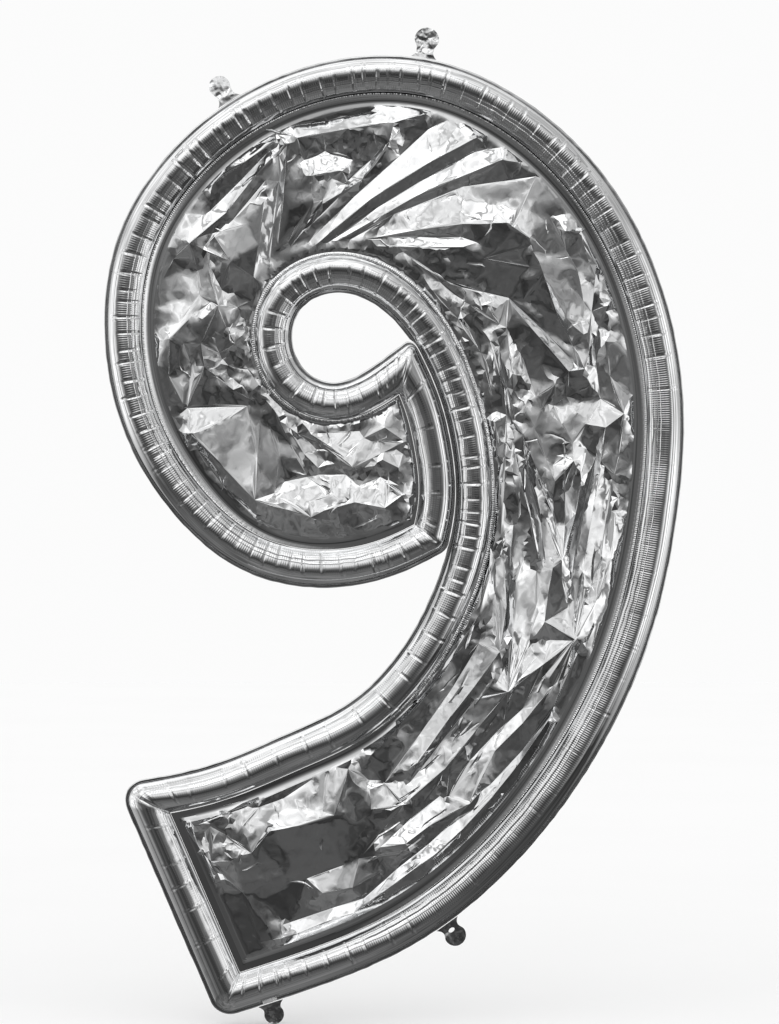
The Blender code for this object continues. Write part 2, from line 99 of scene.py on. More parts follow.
# Rim tube
RIM_RADIUS = 15.0 * MM
SPLINE_SAMPLE = 1.0 * MM
CORNER_REACH = 55.0 * MM
TRIM_STEP = 0.25 * MM
FOOT_CORNER = 15.0 * MM
CHIN_CORNER = 14.0 * MM
NOTCH_CORNER = 6.0 * MM
STATION_STEP = 0.86 * MM
PROFILE_STEPS = 20
LAST_ANGLE = math.radians(168)
# Radius of the outline at which the tube's crown moves fully off its middle, and by what share
TIGHT_RADIUS = 0.4
LEAN = 0.115
FOOT_END_LEAN = 0.35
SHEET_GAP = 0.15 * MM
FOOT_RISE = 4.2 * MM
# The lining inside the tube's film: place across the width and height, as shares; None is the crown.
LINING = ((0.93, 0.27), (None, 0.80), (0.07, 0.32))

# How gently the rim's character changes along it, in stations
BEND_EASE = 18
LEAN_EASE = 25
CALM_EASE = 40
RIB_EASE = 30
CORNER_EASE = 10
FOOT_EASE = 20
STRIP_EASE = 25

# Stretches of the rim with a character of their own, as distances along their run in metres
SPINE = (1.12, 1.72)
UPPER_BOWL = (0.82, 1.12)
LOWER_BOWL = (0.04, 0.45)
FOOT_TOP_EDGE = (0.0, 0.3)
BESIDE_STEM = (0.22, math.inf)
# Calm stretches have shallower nips further apart, and ribbed ones show the fine ribs.
STRAIGHT_CALM = 0.8
CALM_STRETCHES = ((BOWL_RUN, SPINE, 0.9), (STEM_RUN, FOOT_TOP_EDGE, 0.6))
CALM_PITCH = 1.6
PLAIN_RIBBING = 0.25
RIBBED_STRETCHES = ((SPINE, 1.0), (LOWER_BOWL, 0.7), (UPPER_BOWL, 0.8))
# Height of the tube's foot above the web: distances along the run, and shares of FOOT_RISE.
BOWL_FOOT = ((0, 0.15, 0.25, 1.35, 1.6, 1.8), (0, 0.2, 1, 1, 0.3, 0))
STEM_FOOT = ((0, 0.2, 0.35, 0.8, 0.9), (0, 0.3, 0.6, 0.6, 0.2))

# Puckers of the rim. Places across its puckered side go from 0 at the crown line to 1 at the foot;
# most pairs are the ends of a range, and lengths without a unit are in millimetres.
PUCKERS_BEGIN = (-0.22, 0.05)
PUCKERS_END = (0.78, 0.97)
FIRST_NIP = 4.0 * MM
NIP_PITCH = (9.0, 18.0)
NIP_DEPTH = 0.85 * MM
NIP_VARIES = (0.35, 1.0)
NIP_BEGIN = (-0.6, 0.05)
NIP_END = (0.6, 1.15)
NIP_EASE = 0.25
NIP_WIDTH = (0.55, 0.95)
NIP_SKEW = 1.5
NIP_ZIGZAG = 0.45 * MM
ZIGZAGS = 19
ZIGZAG_PHASE = (0, 6.28)
NIP_REACH = 8.0 * MM
LIP_HEIGHT = 0.3
LIP_AT = 2.0 * MM
LIP_WIDTH = 0.9 * MM
SIDE_NIPS = (0, 3)
SIDE_NIP_AWAY = 3.2
SIDE_NIP_END = (0.2, 0.8)
PILLOW_HEIGHT = 0.34 * MM
PILLOW_ROUNDNESS = 0.7
CALMING = 0.8
MITRE_DEPTH = 1.1 * MM
MITRE_WIDTH = 1.1 * MM
MITRE_BEGIN = (0.12, 0.4)
RELIEF_BEGIN = (0.0, 0.06)
RELIEF_END = (0.95, 1.0)
# Slow unevenness: spacing along the tube and height, in millimetres
SWAYS = ((55.0, 0.35), (21.0, 0.10))
# Long facets that run with the tube: place across the puckered side, width, height in mm, and
# how broken the line is.
LONG_FACETS = (
    (-0.80, 0.05, -0.10, 0.3),
    (-0.62, 0.06, 0.14, 0.4),
    (-0.33, 0.05, -0.12, 0.5),
    (0.10, 0.04, -0.16, 0.5),
    (0.44, 0.035, -0.34, 1.0),
    (0.66, 0.03, 0.20, 1.0),
    (0.84, 0.03, -0.40, 0.4),
    (0.92, 0.03, 0.30, 0.4),
)
FACET_DRIFT = 0.04
FACET_DRIFT_SPACING = 45.0 * MM
FACET_BREAKS = 6.0 * MM
RIB_PITCH = 1.95 * MM
RIB_HEIGHT = 0.16 * MM
# Broken crease lines that run with the tube: place across the puckered side, share of the height.
RING_CREASES = ((0.52, 1.0), (0.34, 0.5), (0.70, 0.6))
RING_CREASE_HEIGHT = 0.5 * MM
RING_CREASE_WIDTH = 0.035
RING_CREASE_SWAY = 0.12

# Triangulation: the mode that keeps only what lies inside the first loop, and the distance below
# which two points are one
INSIDE_ONLY = 1
SAME_POINT = 1e-7

# Web: its border, and the smooth strip beside the rim
SEAM_GAP = 0.35 * MM
BORDER_STEP = 1.8 * MM
STRIP_RINGS = (2.2, 4.6, 7.4, 10.6)
STRIP_WIDTH = 11.0 * MM
STEM_STRIP_WIDTH = 4.5 * MM
STRIP_SLOPE = 1.6
CRUMPLES_BEGIN = (0.32, 1.2)  # as shares of the strip's width
LOWEST_WEB = 0.35 * MM
LOWEST_FOLD = 0.5 * MM
LOWEST_PLEAT = 0.3 * MM
WEB_REST = 2.0 * MM
FOLD_CLEARANCE = 3.0 * MM
STRIP_CLEARANCE = 1.0 * MM
COARSE_STRIP = 4.0
CREASE_ANGLE = math.radians(11)
CREASE_ROUNDNESS = 0.24
# Folds of the web. Each line joins points given as x, z and height in millimetres; the high
# points are ridges and peaks, the low ones valleys.
WEB_FOLDS = [
    # fan of pleats from the counter's crown to the upper right of the bowl
    [(-66, 246, 2.5), (-20, 284, 6), (30, 315, 9), (72, 337, 10)],
    [(-74, 247, 1), (-35, 286, 1), (5, 322, 1), (30, 345, 1.5), (47, 353, 2)],
    [(-58, 246, 0.8), (-14, 277, 1), (22, 299, 1.2), (70, 325, 1.5), (92, 329, 2)],
    [(-49, 248, 2), (20, 287, 4.5), (60, 304, 6), (94, 318, 7), (108, 316, 4)],
    [(-38, 249, 0.8), (0, 271, 1), (60, 295, 1), (124, 304, 1.5)],
    [(-25, 249, 2.5), (20, 257, 6.5), (60, 262, 9), (98, 263, 10), (118, 250, 7)],
    [(86, 279, 2.5), (98, 263, 10)],
    [(124, 304, 1.5), (104, 262, 5)],
    [(-90, 243, 2), (-62, 280, 6), (-28, 300, 8), (-4, 334, 9), (0, 350, 9)],
    [(-72, 262, 1), (-48, 286, 1), (-40, 300, 2), (-20, 318, 2), (5, 343, 3)],
    # dark panel right of the fan, a light strip lies on it
    [(-15, 243, 4), (22, 242, 6), (60, 242, 8.5), (72, 246, 7)],
    [(-15, 251, 1.5), (22, 251, 3), (58, 251, 4.5), (72, 246, 7)],
    [(8, 238, 2.5), (45, 213, 5), (78, 203, 4), (100, 198, 2), (113, 196, 2), (130, 219, 7)],
    [(118, 225, 4), (78, 232, 7.5), (119, 244, 5)],
    [(118, 250, 7), (121, 238, 6), (130, 219, 7), (150, 180, 9), (165, 166, 8)],
    [(136, 268, 2), (150, 240, 1), (160, 222, 1), (165, 196, 1), (165, 180, 3)],
    [(149, 256, 7), (163, 256, 5), (176, 226, 8), (174, 206, 8), (172, 186, 5)],
    # crown of the bowl
    [(-112, 345, 5), (-84, 337, 8), (-40, 345, 8), (-5, 350, 9), (28, 358, 5)],
    [(-88, 348, 1), (-60, 352, 1), (-20, 361, 1)],
    [(-84, 337, 8), (-78, 318, 4), (-72, 304, 8), (-45, 308, 8), (-36, 318, 4), (-60, 326, 1.5),
     (-78, 318, 4)],
    [(-45, 308, 8), (-40, 296, 2), (-54, 302, 1)],
    [(-101, 245, 2), (-96, 290, 6), (-93, 330, 8)],
    [(-108, 232, 1), (-105, 262, 1), (-100, 300, 1), (-100, 333, 3)],
    [(-92, 246, 4), (-70, 282, 8), (-62, 283, 5), (-72, 262, 1)],
    # left of the bowl: long bands up to the right, a star of facets below them
    [(-178, 245, 9), (-146, 272, 7), (-120, 305, 7), (-95, 332, 8)],
    [(-165, 243, 5), (-140, 266, 4.5), (-112, 300, 4.5)],
    [(-158, 296, 7), (-130, 316, 6), (-105, 334, 8)],
    [(-160, 274, 1), (-132, 302, 1), (-110, 325, 1.5)],
    [(-178, 245, 9), (-166, 240, 6), (-142, 229, 9), (-158, 254, 4), (-128, 262, 6.5)],
    [(-142, 229, 9), (-122, 216, 7), (-118, 244, 8), (-113, 282, 7.5)],
    [(-142, 229, 9), (-150, 205, 2), (-148, 192, 5)],
    [(-178, 245, 9), (-171, 222, 1), (-169, 200, 4), (-153, 191, 9), (-163, 238, 3)],
    [(-178, 245, 9), (-192, 232, 2), (-201, 215, 2)],
    [(-169, 200, 4), (-187, 176, 7), (-195, 162, 10), (-178, 180, 7), (-160, 194, 4)],
    [(-195, 162, 10), (-183, 158, 8), (-168, 158, 7), (-153, 191, 9)],
    [(-153, 191, 9), (-146, 172, 5), (-138, 158, 6), (-152, 150, 1), (-168, 158, 7)],
    [(-153, 191, 9), (-136, 190, 2), (-124, 196, 2)],
    [(-168, 158, 7), (-165, 138, 6), (-180, 103, 4), (-176, 140, 1), (-183, 158, 8)],
    [(-195, 162, 10), (-196, 130, 3), (-184, 106, 5)],
    [(-165, 138, 6), (-140, 118, 3), (-122, 108, 2)],
    [(-138, 158, 6), (-130, 140, 1), (-118, 122, 3)],
    # broad light panel on the lower left, creased along its foot
    [(-180, 102, 3), (-177, 80, 9), (-152, 90, 5), (-128, 104, 0.5), (-180, 102, 5)],
    [(-177, 80, 9), (-148, 50, 9), (-121, 22, 10.7), (-119, 60, 5), (-117, 92, 2)],
    [(-121, 22, 10.7), (-104, 28, 5), (-100, 60, 3), (-108, 85, 1.5)],
    [(-121, 22, 10.7), (-95, 14, 9), (-72, 7, 10), (-60, 13, 9)],
    [(-172, 66, 2), (-145, 30, 2), (-118, 4, 3), (-98, -4, 2)],
    [(-128, 104, 0.5), (-119, 60, 5)],
    # light crumpled patch and dark blades in the lower bowl
    [(-72, 7, 10), (-74, 21, 7), (-52, 27, 6), (-76, 42, 1), (-95, 38, 2), (-100, 24, 7), (-72, 7, 10)],
    [(-60, 13, 9), (-34, 20, 9), (-8, 15, 10), (7, 26, 9), (-8, 37, 5), (-8, 15, 10)],
    [(-34, 20, 9), (-30, 34, 6), (-42, 44, 1), (-66, 44, 1)],
    [(-30, 34, 6), (-12, 42, 1), (8, 28, 6)],
    [(-36, 50, 9), (-66, 72, 2), (-84, 80, 2)],
    [(-36, 50, 9), (-12, 62, 4), (8, 72, 7), (-14, 74, 2)],
    [(-43, 59, 7), (-26, 76, 3), (-8, 85, 8), (8, 74, 6)],
    [(-43, 59, 7), (-72, 79, 5)],
    [(-88, 78, 7), (-78, 62, 8), (-66, 50, 6), (-60, 56, 2), (-76, 74, 2)],
    [(-10, 57, 7), (4, 50, 6), (8, 62, 3), (2, 66, 2)],
    [(-104, 100, 4), (-90, 70, 2), (-76, 44, 4)],
    [(-66, 80, 3), (-30, 82, 1.5)],
    # long blades right of the counter
    [(20, 228, 4), (40, 212, 2), (66, 192, 5), (92, 175, 3), (98, 196, 4)],
    [(84, 186, 7), (92, 175, 3)],
    [(100, 198, 2), (132, 168, 1.5), (160, 138, 3), (166, 136, 9)],
    [(102, 192, 6), (126, 164, 7), (152, 134, 8), (166, 136, 9)],
    [(130, 219, 7), (142, 184, 2), (156, 156, 2), (166, 136, 9)],
    [(166, 136, 9), (170, 152, 8), (172, 186, 5)],
    [(172, 186, 5), (186, 191, 9), (178, 174, 2), (176, 140, 1)],
    [(176, 140, 1), (180, 110, 2), (200, 97, 9), (188, 130, 4), (184, 160, 7)],
    [(200, 97, 9), (184, 85, 8), (168, 88, 7), (180, 110, 2)],
    [(200, 97, 9), (196, 62, 3), (192, 44, 6), (180, 56, 7), (184, 85, 8)],
    [(100, 196, 5), (98, 172, 6), (103, 132, 7), (104, 118, 3)],
    [(110, 150, 1), (118, 128, 1.5), (124, 112, 5), (140, 122, 8), (128, 100, 6)],
    [(140, 122, 8), (139, 104, 2), (146, 88, 7), (156, 72, 8)],
    [(152, 134, 8), (150, 112, 4), (139, 104, 2)],
    [(166, 88, 7), (156, 72, 8), (156, 56, 11), (148, 60, 6), (138, 52, 8)],
    [(128, 100, 6), (122, 84, 7), (132, 58, 8), (140, 38, 11), (156, 56, 11)],
    [(96, 120, 6), (102, 92, 2), (112, 78, 7)],
    # pleats that run down the stem between starred peaks
    [(112, 78, 7), (126, 44, 9), (138, 10, 8), (146, -31, 11)],
    [(112, 78, 7), (118, 40, 1), (128, 2, 1), (131, -30, 2)],
    [(103, 74, 2), (110, 40, 7), (119, 6, 8), (126, -30, 6)],
    [(140, 38, 11), (138, 22, 2), (141, 0, 2), (146, -31, 11)],
    [(156, 56, 11), (149, 30, 2), (149, 0, 2), (146, -31, 11)],
    [(168, 66, 2), (163, 40, 8), (158, 10, 8), (146, -31, 11)],
    [(146, -31, 11), (138, -37, 9), (131, -30, 2)],
    [(180, 50, 8), (174, 20, 8), (170, -5, 7), (164, -40, 7), (157, -99, 11)],
    [(176, 60, 2), (166, 20, 2), (158, -20, 2), (154, -60, 2)],
    [(190, 40, 2), (184, 0, 1), (180, -30, 1), (168, -64, 1.5)],
    [(192, 10, 7), (189, -30, 8), (176, -66, 7), (157, -99, 11)],
    [(146, -31, 11), (146, -45, 7), (151, -72, 4), (131, -84, 9)],
    [(138, -37, 9), (134, -60, 7), (131, -84, 9), (157, -99, 11), (151, -72, 4)],
    [(131, -84, 9), (136, -100, 3), (130, -121, 7), (120, -110, 3)],
    [(157, -99, 11), (130, -121, 7), (99, -145, 11)],
    [(124, -40, 1), (124, -70, 1.5), (118, -100, 1), (99, -145, 11)],
    [(113, -28, 8), (106, -50, 8), (104, -90, 8), (99, -145, 11)],
    [(96, -30, 7), (98, -70, 7), (92, -110, 11), (96, -125, 4), (99, -145, 11)],
    [(104, 0, 2), (101, -40, 1.5), (99, -90, 1.5)],
    [(92, -110, 11), (82, -97, 6), (74, -103, 5), (92, -110, 11), (88, -60, 2), (88, -36, 2)],
    [(74, -103, 5), (52, -140, 2), (24, -180, 2), (-8, -224, 4)],
    [(92, -110, 11), (70, -140, 10), (45, -172, 9), (18, -210, 8)],
    [(99, -145, 11), (70, -152, 5), (44, -185, 2), (14, -224, 3)],
    [(99, -145, 11), (74, -175, 8), (44, -212, 8), (14, -238, 8)],
    [(99, -145, 11), (96, -170, 3), (66, -205, 2), (48, -236, 5)],
    [(157, -99, 11), (138, -140, 9), (112, -172, 8), (88, -196, 8), (66, -240, 9)],
    [(160, -112, 2), (140, -158, 2), (112, -196, 2), (84, -226, 3)],
    [(130, -121, 7), (112, -160, 2), (86, -184, 1.5), (66, -205, 2)],
    [(56, -96, 2), (30, -130, 1.5), (0, -160, 1.5), (-30, -186, 2)],
    [(66, -90, 6), (36, -140, 7), (4, -176, 7), (-20, -200, 6)],
    [(84, 160, 6), (92, 130, 7), (98, 96, 3), (97, 60, 6), (95, 20, 7), (93, -10, 6)],
    [(92, 150, 1.5), (99, 120, 1.5), (103, 88, 1)],
    [(88, 90, 6), (91, 50, 1.5), (89, 10, 5), (84, -20, 1.5), (76, -60, 5), (60, -92, 6)],
    [(84, -40, 6), (74, -78, 6), (50, -118, 5), (20, -152, 5)],
    [(60, 180, 5), (76, 150, 2), (86, 112, 5)],
    [(34, 204, 5), (56, 180, 1), (70, 158, 5)],
    # crumpled light ridge along the lower edge, dark smooth foot
    [(-106, -361, 4), (-84, -355, 8), (-60, -345, 9), (-35, -337, 8), (0, -312, 9), (16, -300, 8),
     (36, -286, 9), (60, -264, 8), (84, -238, 8), (108, -208, 8), (134, -170, 8), (152, -128, 7)],
    [(-90, -346, 1), (-52, -333, 2), (-26, -325, 2), (2, -300, 1.5), (30, -278, 2),
     (56, -254, 2), (76, -232, 2)],
    [(-106, -361, 4), (-118, -363, 2), (-132, -320, 2), (-158, -296, 4)],
    [(66, -242, 10), (46, -236, 5), (48, -216, 5), (64, -205, 6)],
    [(66, -242, 10), (30, -262, 7), (10, -277, 9), (-12, -280, 9), (8, -262, 1.5), (40, -236, 1.5)],
    [(-12, -280, 9), (14, -284, 7), (-30, -290, 5), (-36, -315, 9), (-8, -300, 3)],
    [(-36, -315, 9), (-62, -320, 8), (-76, -308, 3), (-44, -296, 5)],
    [(8, -243, 10), (-8, -225, 4), (-21, -230, 6), (-20, -247, 8), (8, -243, 10)],
    [(8, -243, 10), (-10, -265, 6), (-30, -290, 5)],
    [(-22, -222, 2), (-40, -212, 7), (-52, -252, 10), (-62, -249, 8), (-58, -216, 1.5)],
    [(-52, -252, 10), (-88, -262, 9.5), (-108, -266, 9), (-124, -285, 9), (-110, -262, 5)],
    [(-72, -222, 0.5), (-96, -238, 0.5), (-118, -246, 1.5), (-132, -262, 6)],
    [(-124, -285, 9), (-146, -270, 4), (-160, -262, 6), (-159, -292, 9), (-142, -292, 8), (-124, -285, 9)],
    [(-180, -262, 6), (-168, -284, 3), (-158, -299, 8)],
    [(-172, -250, 2), (-130, -240, 1.5), (-90, -218, 1)],
    [(-174, -262, 6), (-150, -252, 7), (-118, -240, 6), (-80, -215, 6), (-40, -190, 6)],
]
# The back sheet's folds are the front's turned inside out about this height.
FOLD_SPAN = 10.5

# Long panels that meet at a peak are split by pleats that fan out from it.
FAN_PEAK = 10.8 * MM
FAN_REACH = 34.0 * MM
FAN_SPACING = 9.0 * MM
FAN_HEIGHT = 0.85 * MM
FAN_STRAY = 0.2
FAN_VARIES = (0.5, 1.2)

# Crumples between the folds: spacing, usual height and gap to the strip of the medium and of the
# fine ones, in millimetres.
CRUMPLE_SPACING = (11.0, 4.2)
CRUMPLE_HEIGHT = (0.55, 0.07)
CRUMPLE_GAP = (2.5, 0.5)
# Places where the web is calmer or more crumpled than elsewhere: x, z, reach, and the height of
# the medium and of the fine crumples there, all in millimetres.
CRUMPLES = [
    (-100, -315, 75, 0.15, 0.04),
    (-40, -300, 40, 0.2, 0.05),
    (-145, 65, 50, 0.25, 0.03),
    (70, 220, 45, 0.15, 0.03),
    (10, 300, 60, 0.35, 0.05),
    (70, 280, 45, 0.35, 0.05),
    (-185, 205, 30, 0.3, 0.05),
    (40, 245, 22, 0.8, 0.35),
    (50, 302, 20, 0.9, 0.4),
    (-60, 315, 30, 1.0, 0.45),
    (-25, 330, 25, 1.0, 0.4),
    (-60, 30, 30, 0.9, 0.25),
    (-15, 32, 25, 0.9, 0.25),
    (-150, 140, 30, 1.4, 0.4),
    (-120, 330, 25, 0.8, 0.3),
    (0, 245, 40, 0.8, 0.4),
    (55, 190, 40, 1.1, 0.5),
    (85, 130, 35, 1.2, 0.5),
    (90, 60, 35, 1.0, 0.4),
    (190, 20, 28, 1.0, 0.35),
    (185, 235, 28, 1.0, 0.25),
    (60, -170, 40, 0.8, 0.2),
    (105, 105, 22, 1.2, 0.45),
    (95, 30, 22, 1.3, 0.5),
    (88, -30, 25, 1.3, 0.5),
    (72, -85, 28, 1.2, 0.45),
    (35, -130, 30, 1.1, 0.4),
    (-10, -170, 30, 1.0, 0.35),
    (-125, 170, 25, 1.2, 0.45),
    (-115, 120, 25, 1.2, 0.45),
    (-60, 88, 30, 0.9, 0.4),
    (20, -255, 30, 0.9, 0.3),
    (-60, -2, 30, 0.9, 0.3),
    (-20, 2, 24, 0.9, 0.3),
    (-110, 12, 26, 0.9, 0.3),
    (-165, 52, 20, 0.9, 0.3),
    (-145, -275, 28, 1.1, 0.35),
    (-90, -245, 30, 0.6, 0.2),
    (150, 5, 48, 0.25, 0.06),
    (112, -60, 48, 0.25, 0.06),
    (62, -150, 48, 0.3, 0.08),
    (-105, 262, 34, 0.25, 0.05),
    (-136, 255, 30, 0.25, 0.05),
]
# Wrinkles: short thin ridges and grooves; in the stem they are longer and run with the rim.
WRINKLES = 420
WRINKLE_PLACES = 9 * WRINKLES
# One starts where the fine crumples' height plus the first beats a random value up to the second.
WRINKLE_CHANCE = (0.04, 0.4)
WRINKLE_BORDER_GAP = 2.5 * MM
WRINKLE_STEP = (2.2, 4.5)
WRINKLE_RISE = (0.25, 0.6)
WRINKLE_WIDTH = (0.7, 1.2)
STEM_WRINKLE_STRAY = 0.15
# Of each pair, the first is for the loose web and the second for the stem.
WRINKLE_POINTS = ((3, 6), (5, 10))
WRINKLE_BEND = (0.45, 0.08)
WRINKLE_TALLER = (1.0, 1.8)
WRINKLE_WIDER = (1.0, 1.4)
WRINKLE_SPACING = (3.2 * MM, 1.6 * MM)
STEM_LEFT = -30 * MM
STEM_TOP = 60 * MM

# Flange
FLANGE_WIDTH = 3.0 * MM
FLANGE_ROOT = 0.35 * MM
FLANGE_STEP = 1.1 * MM
FLANGE_PARTS = (0.0, 0.3, 0.65, 1.0)
NEIGHBOUR_REACH = 60.0 * MM
FLANGE_GAP = 0.6 * MM
NARROWEST_FLANGE = 0.5 * MM
FLANGE_HALF = (0.11, 0.06)
RAGGED = 0.07
RAGGED_SPACING = 7.0 * MM
# Waves of the flange: height and spacing in millimetres; they die out at the outline's start.
FLANGE_WAVES = ((0.12, 6.0), (0.2, 21.0))
WAVE_EASE = 20.0 * MM

# Hanging tabs and tail plies
TAB_NECK = 7.5 * MM
TAB_FLARE = 12.0 * MM
TAB_FLARE_LENGTH = 6.0 * MM
TAB_ROOT_GAP = 0.45 * MM
TAB_GRID = 0.75 * MM
TAB_CLEARANCE = 0.4 * MM
TAB_LEAN_FROM = 0.4 * MM
TAB_CREASES_BEGIN = (0.3 * MM, 5.0 * MM)
RIBBON_HOLE_AT = 7.2 * MM
# Coarse, medium and fine creases: how much finer and lower each is than the coarse ones.
TAB_CREASES = ((1, 1), (2.6, 4), (6, 12))
TAB_LEVELS = (-0.15 * MM, 0.15 * MM)
# Length and half-width of the head in millimetres; half-axes of the oval hole; spacing and height of
# the coarse creases, and the side that they keep to (0 is neither); levels of the front and the back
# where it is flat; how far the tab leans back.
TAB_LOOKS = {
    "hanging_tab_top_left": {
        "body": "top_left_tab", "fold": "top_left_tab_fold", "length": 25.5, "head": 9.3,
        "hole": (2.7 * MM, 1.5 * MM), "spacing": 7.0 * MM, "height": 0.8 * MM, "side": 0,
        "levels": TAB_LEVELS, "lean": 0.13,
    },
    "hanging_tab_top_right": {
        "body": "top_right_tab", "fold": "top_right_tab_fold", "length": 27.5, "head": 10.7,
        "hole": (2.8 * MM, 2.2 * MM), "spacing": 5.5 * MM, "height": 0.9 * MM, "side": 0,
        "levels": TAB_LEVELS, "lean": 0.09,
    },
    "hanging_tab_lower_right": {
        "body": "lower_right_tab", "fold": "lower_right_tab_fold", "length": 22.0, "head": 9.5,
        "hole": (2.9 * MM, 1.8 * MM), "spacing": 8.0 * MM, "height": 0.5 * MM, "side": 0,
        "levels": TAB_LEVELS, "lean": 0.0,
    },
    "tail_front_ply": {
        "body": "tail_mouth_ply", "fold": "tail_mouth_opening", "length": 19.0, "head": 8.6,
        "hole": None, "spacing": 7.0 * MM, "height": 0.5 * MM, "side": FRONT,
        "levels": (-0.32 * MM, -0.15 * MM), "lean": 0.0,
    },
    "tail_back_ply": {
        "body": "inflation_tail", "fold": "tail_mouth_opening", "length": 19.0, "head": 8.6,
        "hole": None, "spacing": 7.0 * MM, "height": 0.5 * MM, "side": BACK,
        "levels": (0.15 * MM, 0.32 * MM), "lean": 0.0,
    },
}

# Studio as the foil reflects it; every ramp pairs a place with a brightness.
BACKDROP_WHITE = 0.97
STUDIO_FILL = 1.045
DARKEST_REFLECTION = 0.04
# From straight down (0) over level (0.5) to straight up (1)
SKY = (
    (0.0, 0.20), (0.18, 0.15), (0.30, 0.10), (0.36, 0.09), (0.385, 0.03), (0.44, 0.03), (0.46, 0.06),
    (0.48, 0.085), (0.50, 0.09), (0.54, 0.15), (0.587, 0.30), (0.63, 0.52), (0.671, 0.75), (0.711, 0.95),
    (0.75, 1.1), (0.82, 1.3), (0.835, 1.3), (0.84, 0.5), (0.85, 0.5), (0.855, 1.25), (0.94, 1.2),
    (1.0, 0.9),
)
# The sky from the left (0) to the right (1)
SKY_ACROSS = ((0.12, 0.8), (0.3, 0.95), (0.42, 1.0), (0.58, 1.0), (0.70, 0.62), (0.82, 0.40), (1.0, 0.40))
# Round the horizon, from behind the balloon (0) over its front (0.5) to behind it again (1)
WALLS = (
    (0.015, 0.7), (0.03, 0.12), (0.08, 0.35), (0.17, 0.9), (0.25, 1.15), (0.275, 1.05), (0.28, 0.35),
    (0.293, 0.35), (0.298, 0.95), (0.325, 0.7), (0.35, 0.38), (0.40, 0.10), (0.5, 0.03), (0.585, 0.2),
    (0.61, 0.5), (0.635, 0.85), (0.655, 1.0), (0.66, 0.3), (0.672, 0.3), (0.677, 0.95), (0.71, 1.1),
    (0.715, 0.45), (0.727, 0.45), (0.732, 1.1), (0.80, 0.95), (0.88, 0.5), (0.94, 0.2), (0.97, 0.12),
    (0.985, 0.7),
)
WALLS_UPWARD = ((0.235, 0.0), (0.37, 1.0), (0.63, 1.0), (0.80, 0.35), (1.0, 0.3))
CLUTTER = ((0.34, 0.55), (0.46, 0.9), (0.56, 1.05), (0.66, 1.4))
STAGE_HALF = 6.0
STAGE_DROP = 0.6 * MM

# Camera
CAMERA_DISTANCE = 3.0
VIEW_HEIGHT = 0.8929
SENSOR = 36.0
CAMERA_SHIFT = (-4.1 * MM, 11.9 * MM)


def smoothstep(value, low=0.0, high=1.0):
    """Ease from 0 at low to 1 at high."""
    value = np.clip((value - low) / (high - low), 0.0, 1.0)
    return value * value * (3 - 2 * value)


def wander(rng, distance, spacing):
    """A smooth random value between -1 and 1 along a distance."""
    knots = rng.uniform(-1, 1, int(distance.max() / spacing) + 3)
    at = distance / spacing
    low = at.astype(int)
    blend = smoothstep(at - low)
    return knots[low] * (1 - blend) + knots[low + 1] * blend


def cubic_through(knots):
    """Points every SPLINE_SAMPLE along the natural cubic spline through the knots."""
    knots = np.array(knots, float) * MM
    chords = np.linalg.norm(np.diff(knots, axis=0), axis=1)
    starts = np.concatenate(([0.0], np.cumsum(chords)))
    count = len(knots)
    system = np.eye(count)
    right = np.zeros((count, 2))
    for i in range(1, count - 1):
        system[i, i - 1 : i + 2] = (chords[i - 1], 2 * (chords[i - 1] + chords[i]), chords[i])
        slope_after = (knots[i + 1] - knots[i]) / chords[i]
        slope_before = (knots[i] - knots[i - 1]) / chords[i - 1]
        right[i] = 6 * (slope_after - slope_before)
    bend = np.linalg.solve(system, right)
    at = np.linspace(0, starts[-1], int(starts[-1] / SPLINE_SAMPLE) * 2)
    piece = np.clip(np.searchsorted(starts, at, side="right") - 1, 0, count - 2)
    chord = chords[piece][:, None]
    after = (at - starts[piece])[:, None] / chord
    before = 1 - after
    curve = before * knots[piece] + after * knots[piece + 1]
    curve += ((before**3 - before) * bend[piece] + (after**3 - after) * bend[piece + 1]) * chord**2 / 6
    travelled = np.concatenate(([0.0], np.cumsum(np.linalg.norm(np.diff(curve, axis=0), axis=1))))
    even = np.linspace(0, travelled[-1], max(2, int(round(travelled[-1] / SPLINE_SAMPLE)) + 1))
    columns = [np.interp(even, travelled, curve[:, axis]) for axis in (0, 1)]
    return even, np.column_stack(columns)


def left_of(along):
    """Unit vectors turned a quarter to the left."""
    return np.column_stack((-along[:, 1], along[:, 0]))


def unit(vectors):
    """The vectors at length one."""
    return vectors / np.linalg.norm(vectors, axis=1)[:, None]


def ring_direction(ring):
    """Which way a closed ring runs at each of its points."""
    return np.roll(ring, -1, axis=0) - np.roll(ring, 1, axis=0)


def closed_edges(first, size):
    """Edges of a closed loop of points."""
    return [(first + i, first + (i + 1) % size) for i in range(size)]


class Corner:
    """A corner between two runs of the rim."""

    def __init__(self, rounding):
        self.rounding = rounding
        self.straight = 0.0
        self.outer_reach = 0.0
        self.trim_before = 0.0
        self.trim_after = 0.0

    def join(self, run, following):
        """Measure the turn between two runs and where their inner sides cross."""
        cosine = float(run.along[-1] @ following.along[0])
        turn = math.acos(max(-1.0, min(1.0, cosine)))
        self.straight = (RIM_RADIUS - self.rounding) * math.tan(turn / 2)
        self.outer_reach = self.straight + self.rounding * turn / 2
        trims = np.arange(0.0, CORNER_REACH / 2, TRIM_STEP)
        before = run.side(run.length - trims, -1)
        after = following.side(trims, -1)
        apart = np.linalg.norm(before[:, None] - after[None], axis=2)
        last, first = np.unravel_index(np.argmin(apart), apart.shape)
        self.trim_before = trims[last]
        self.trim_after = trims[first]


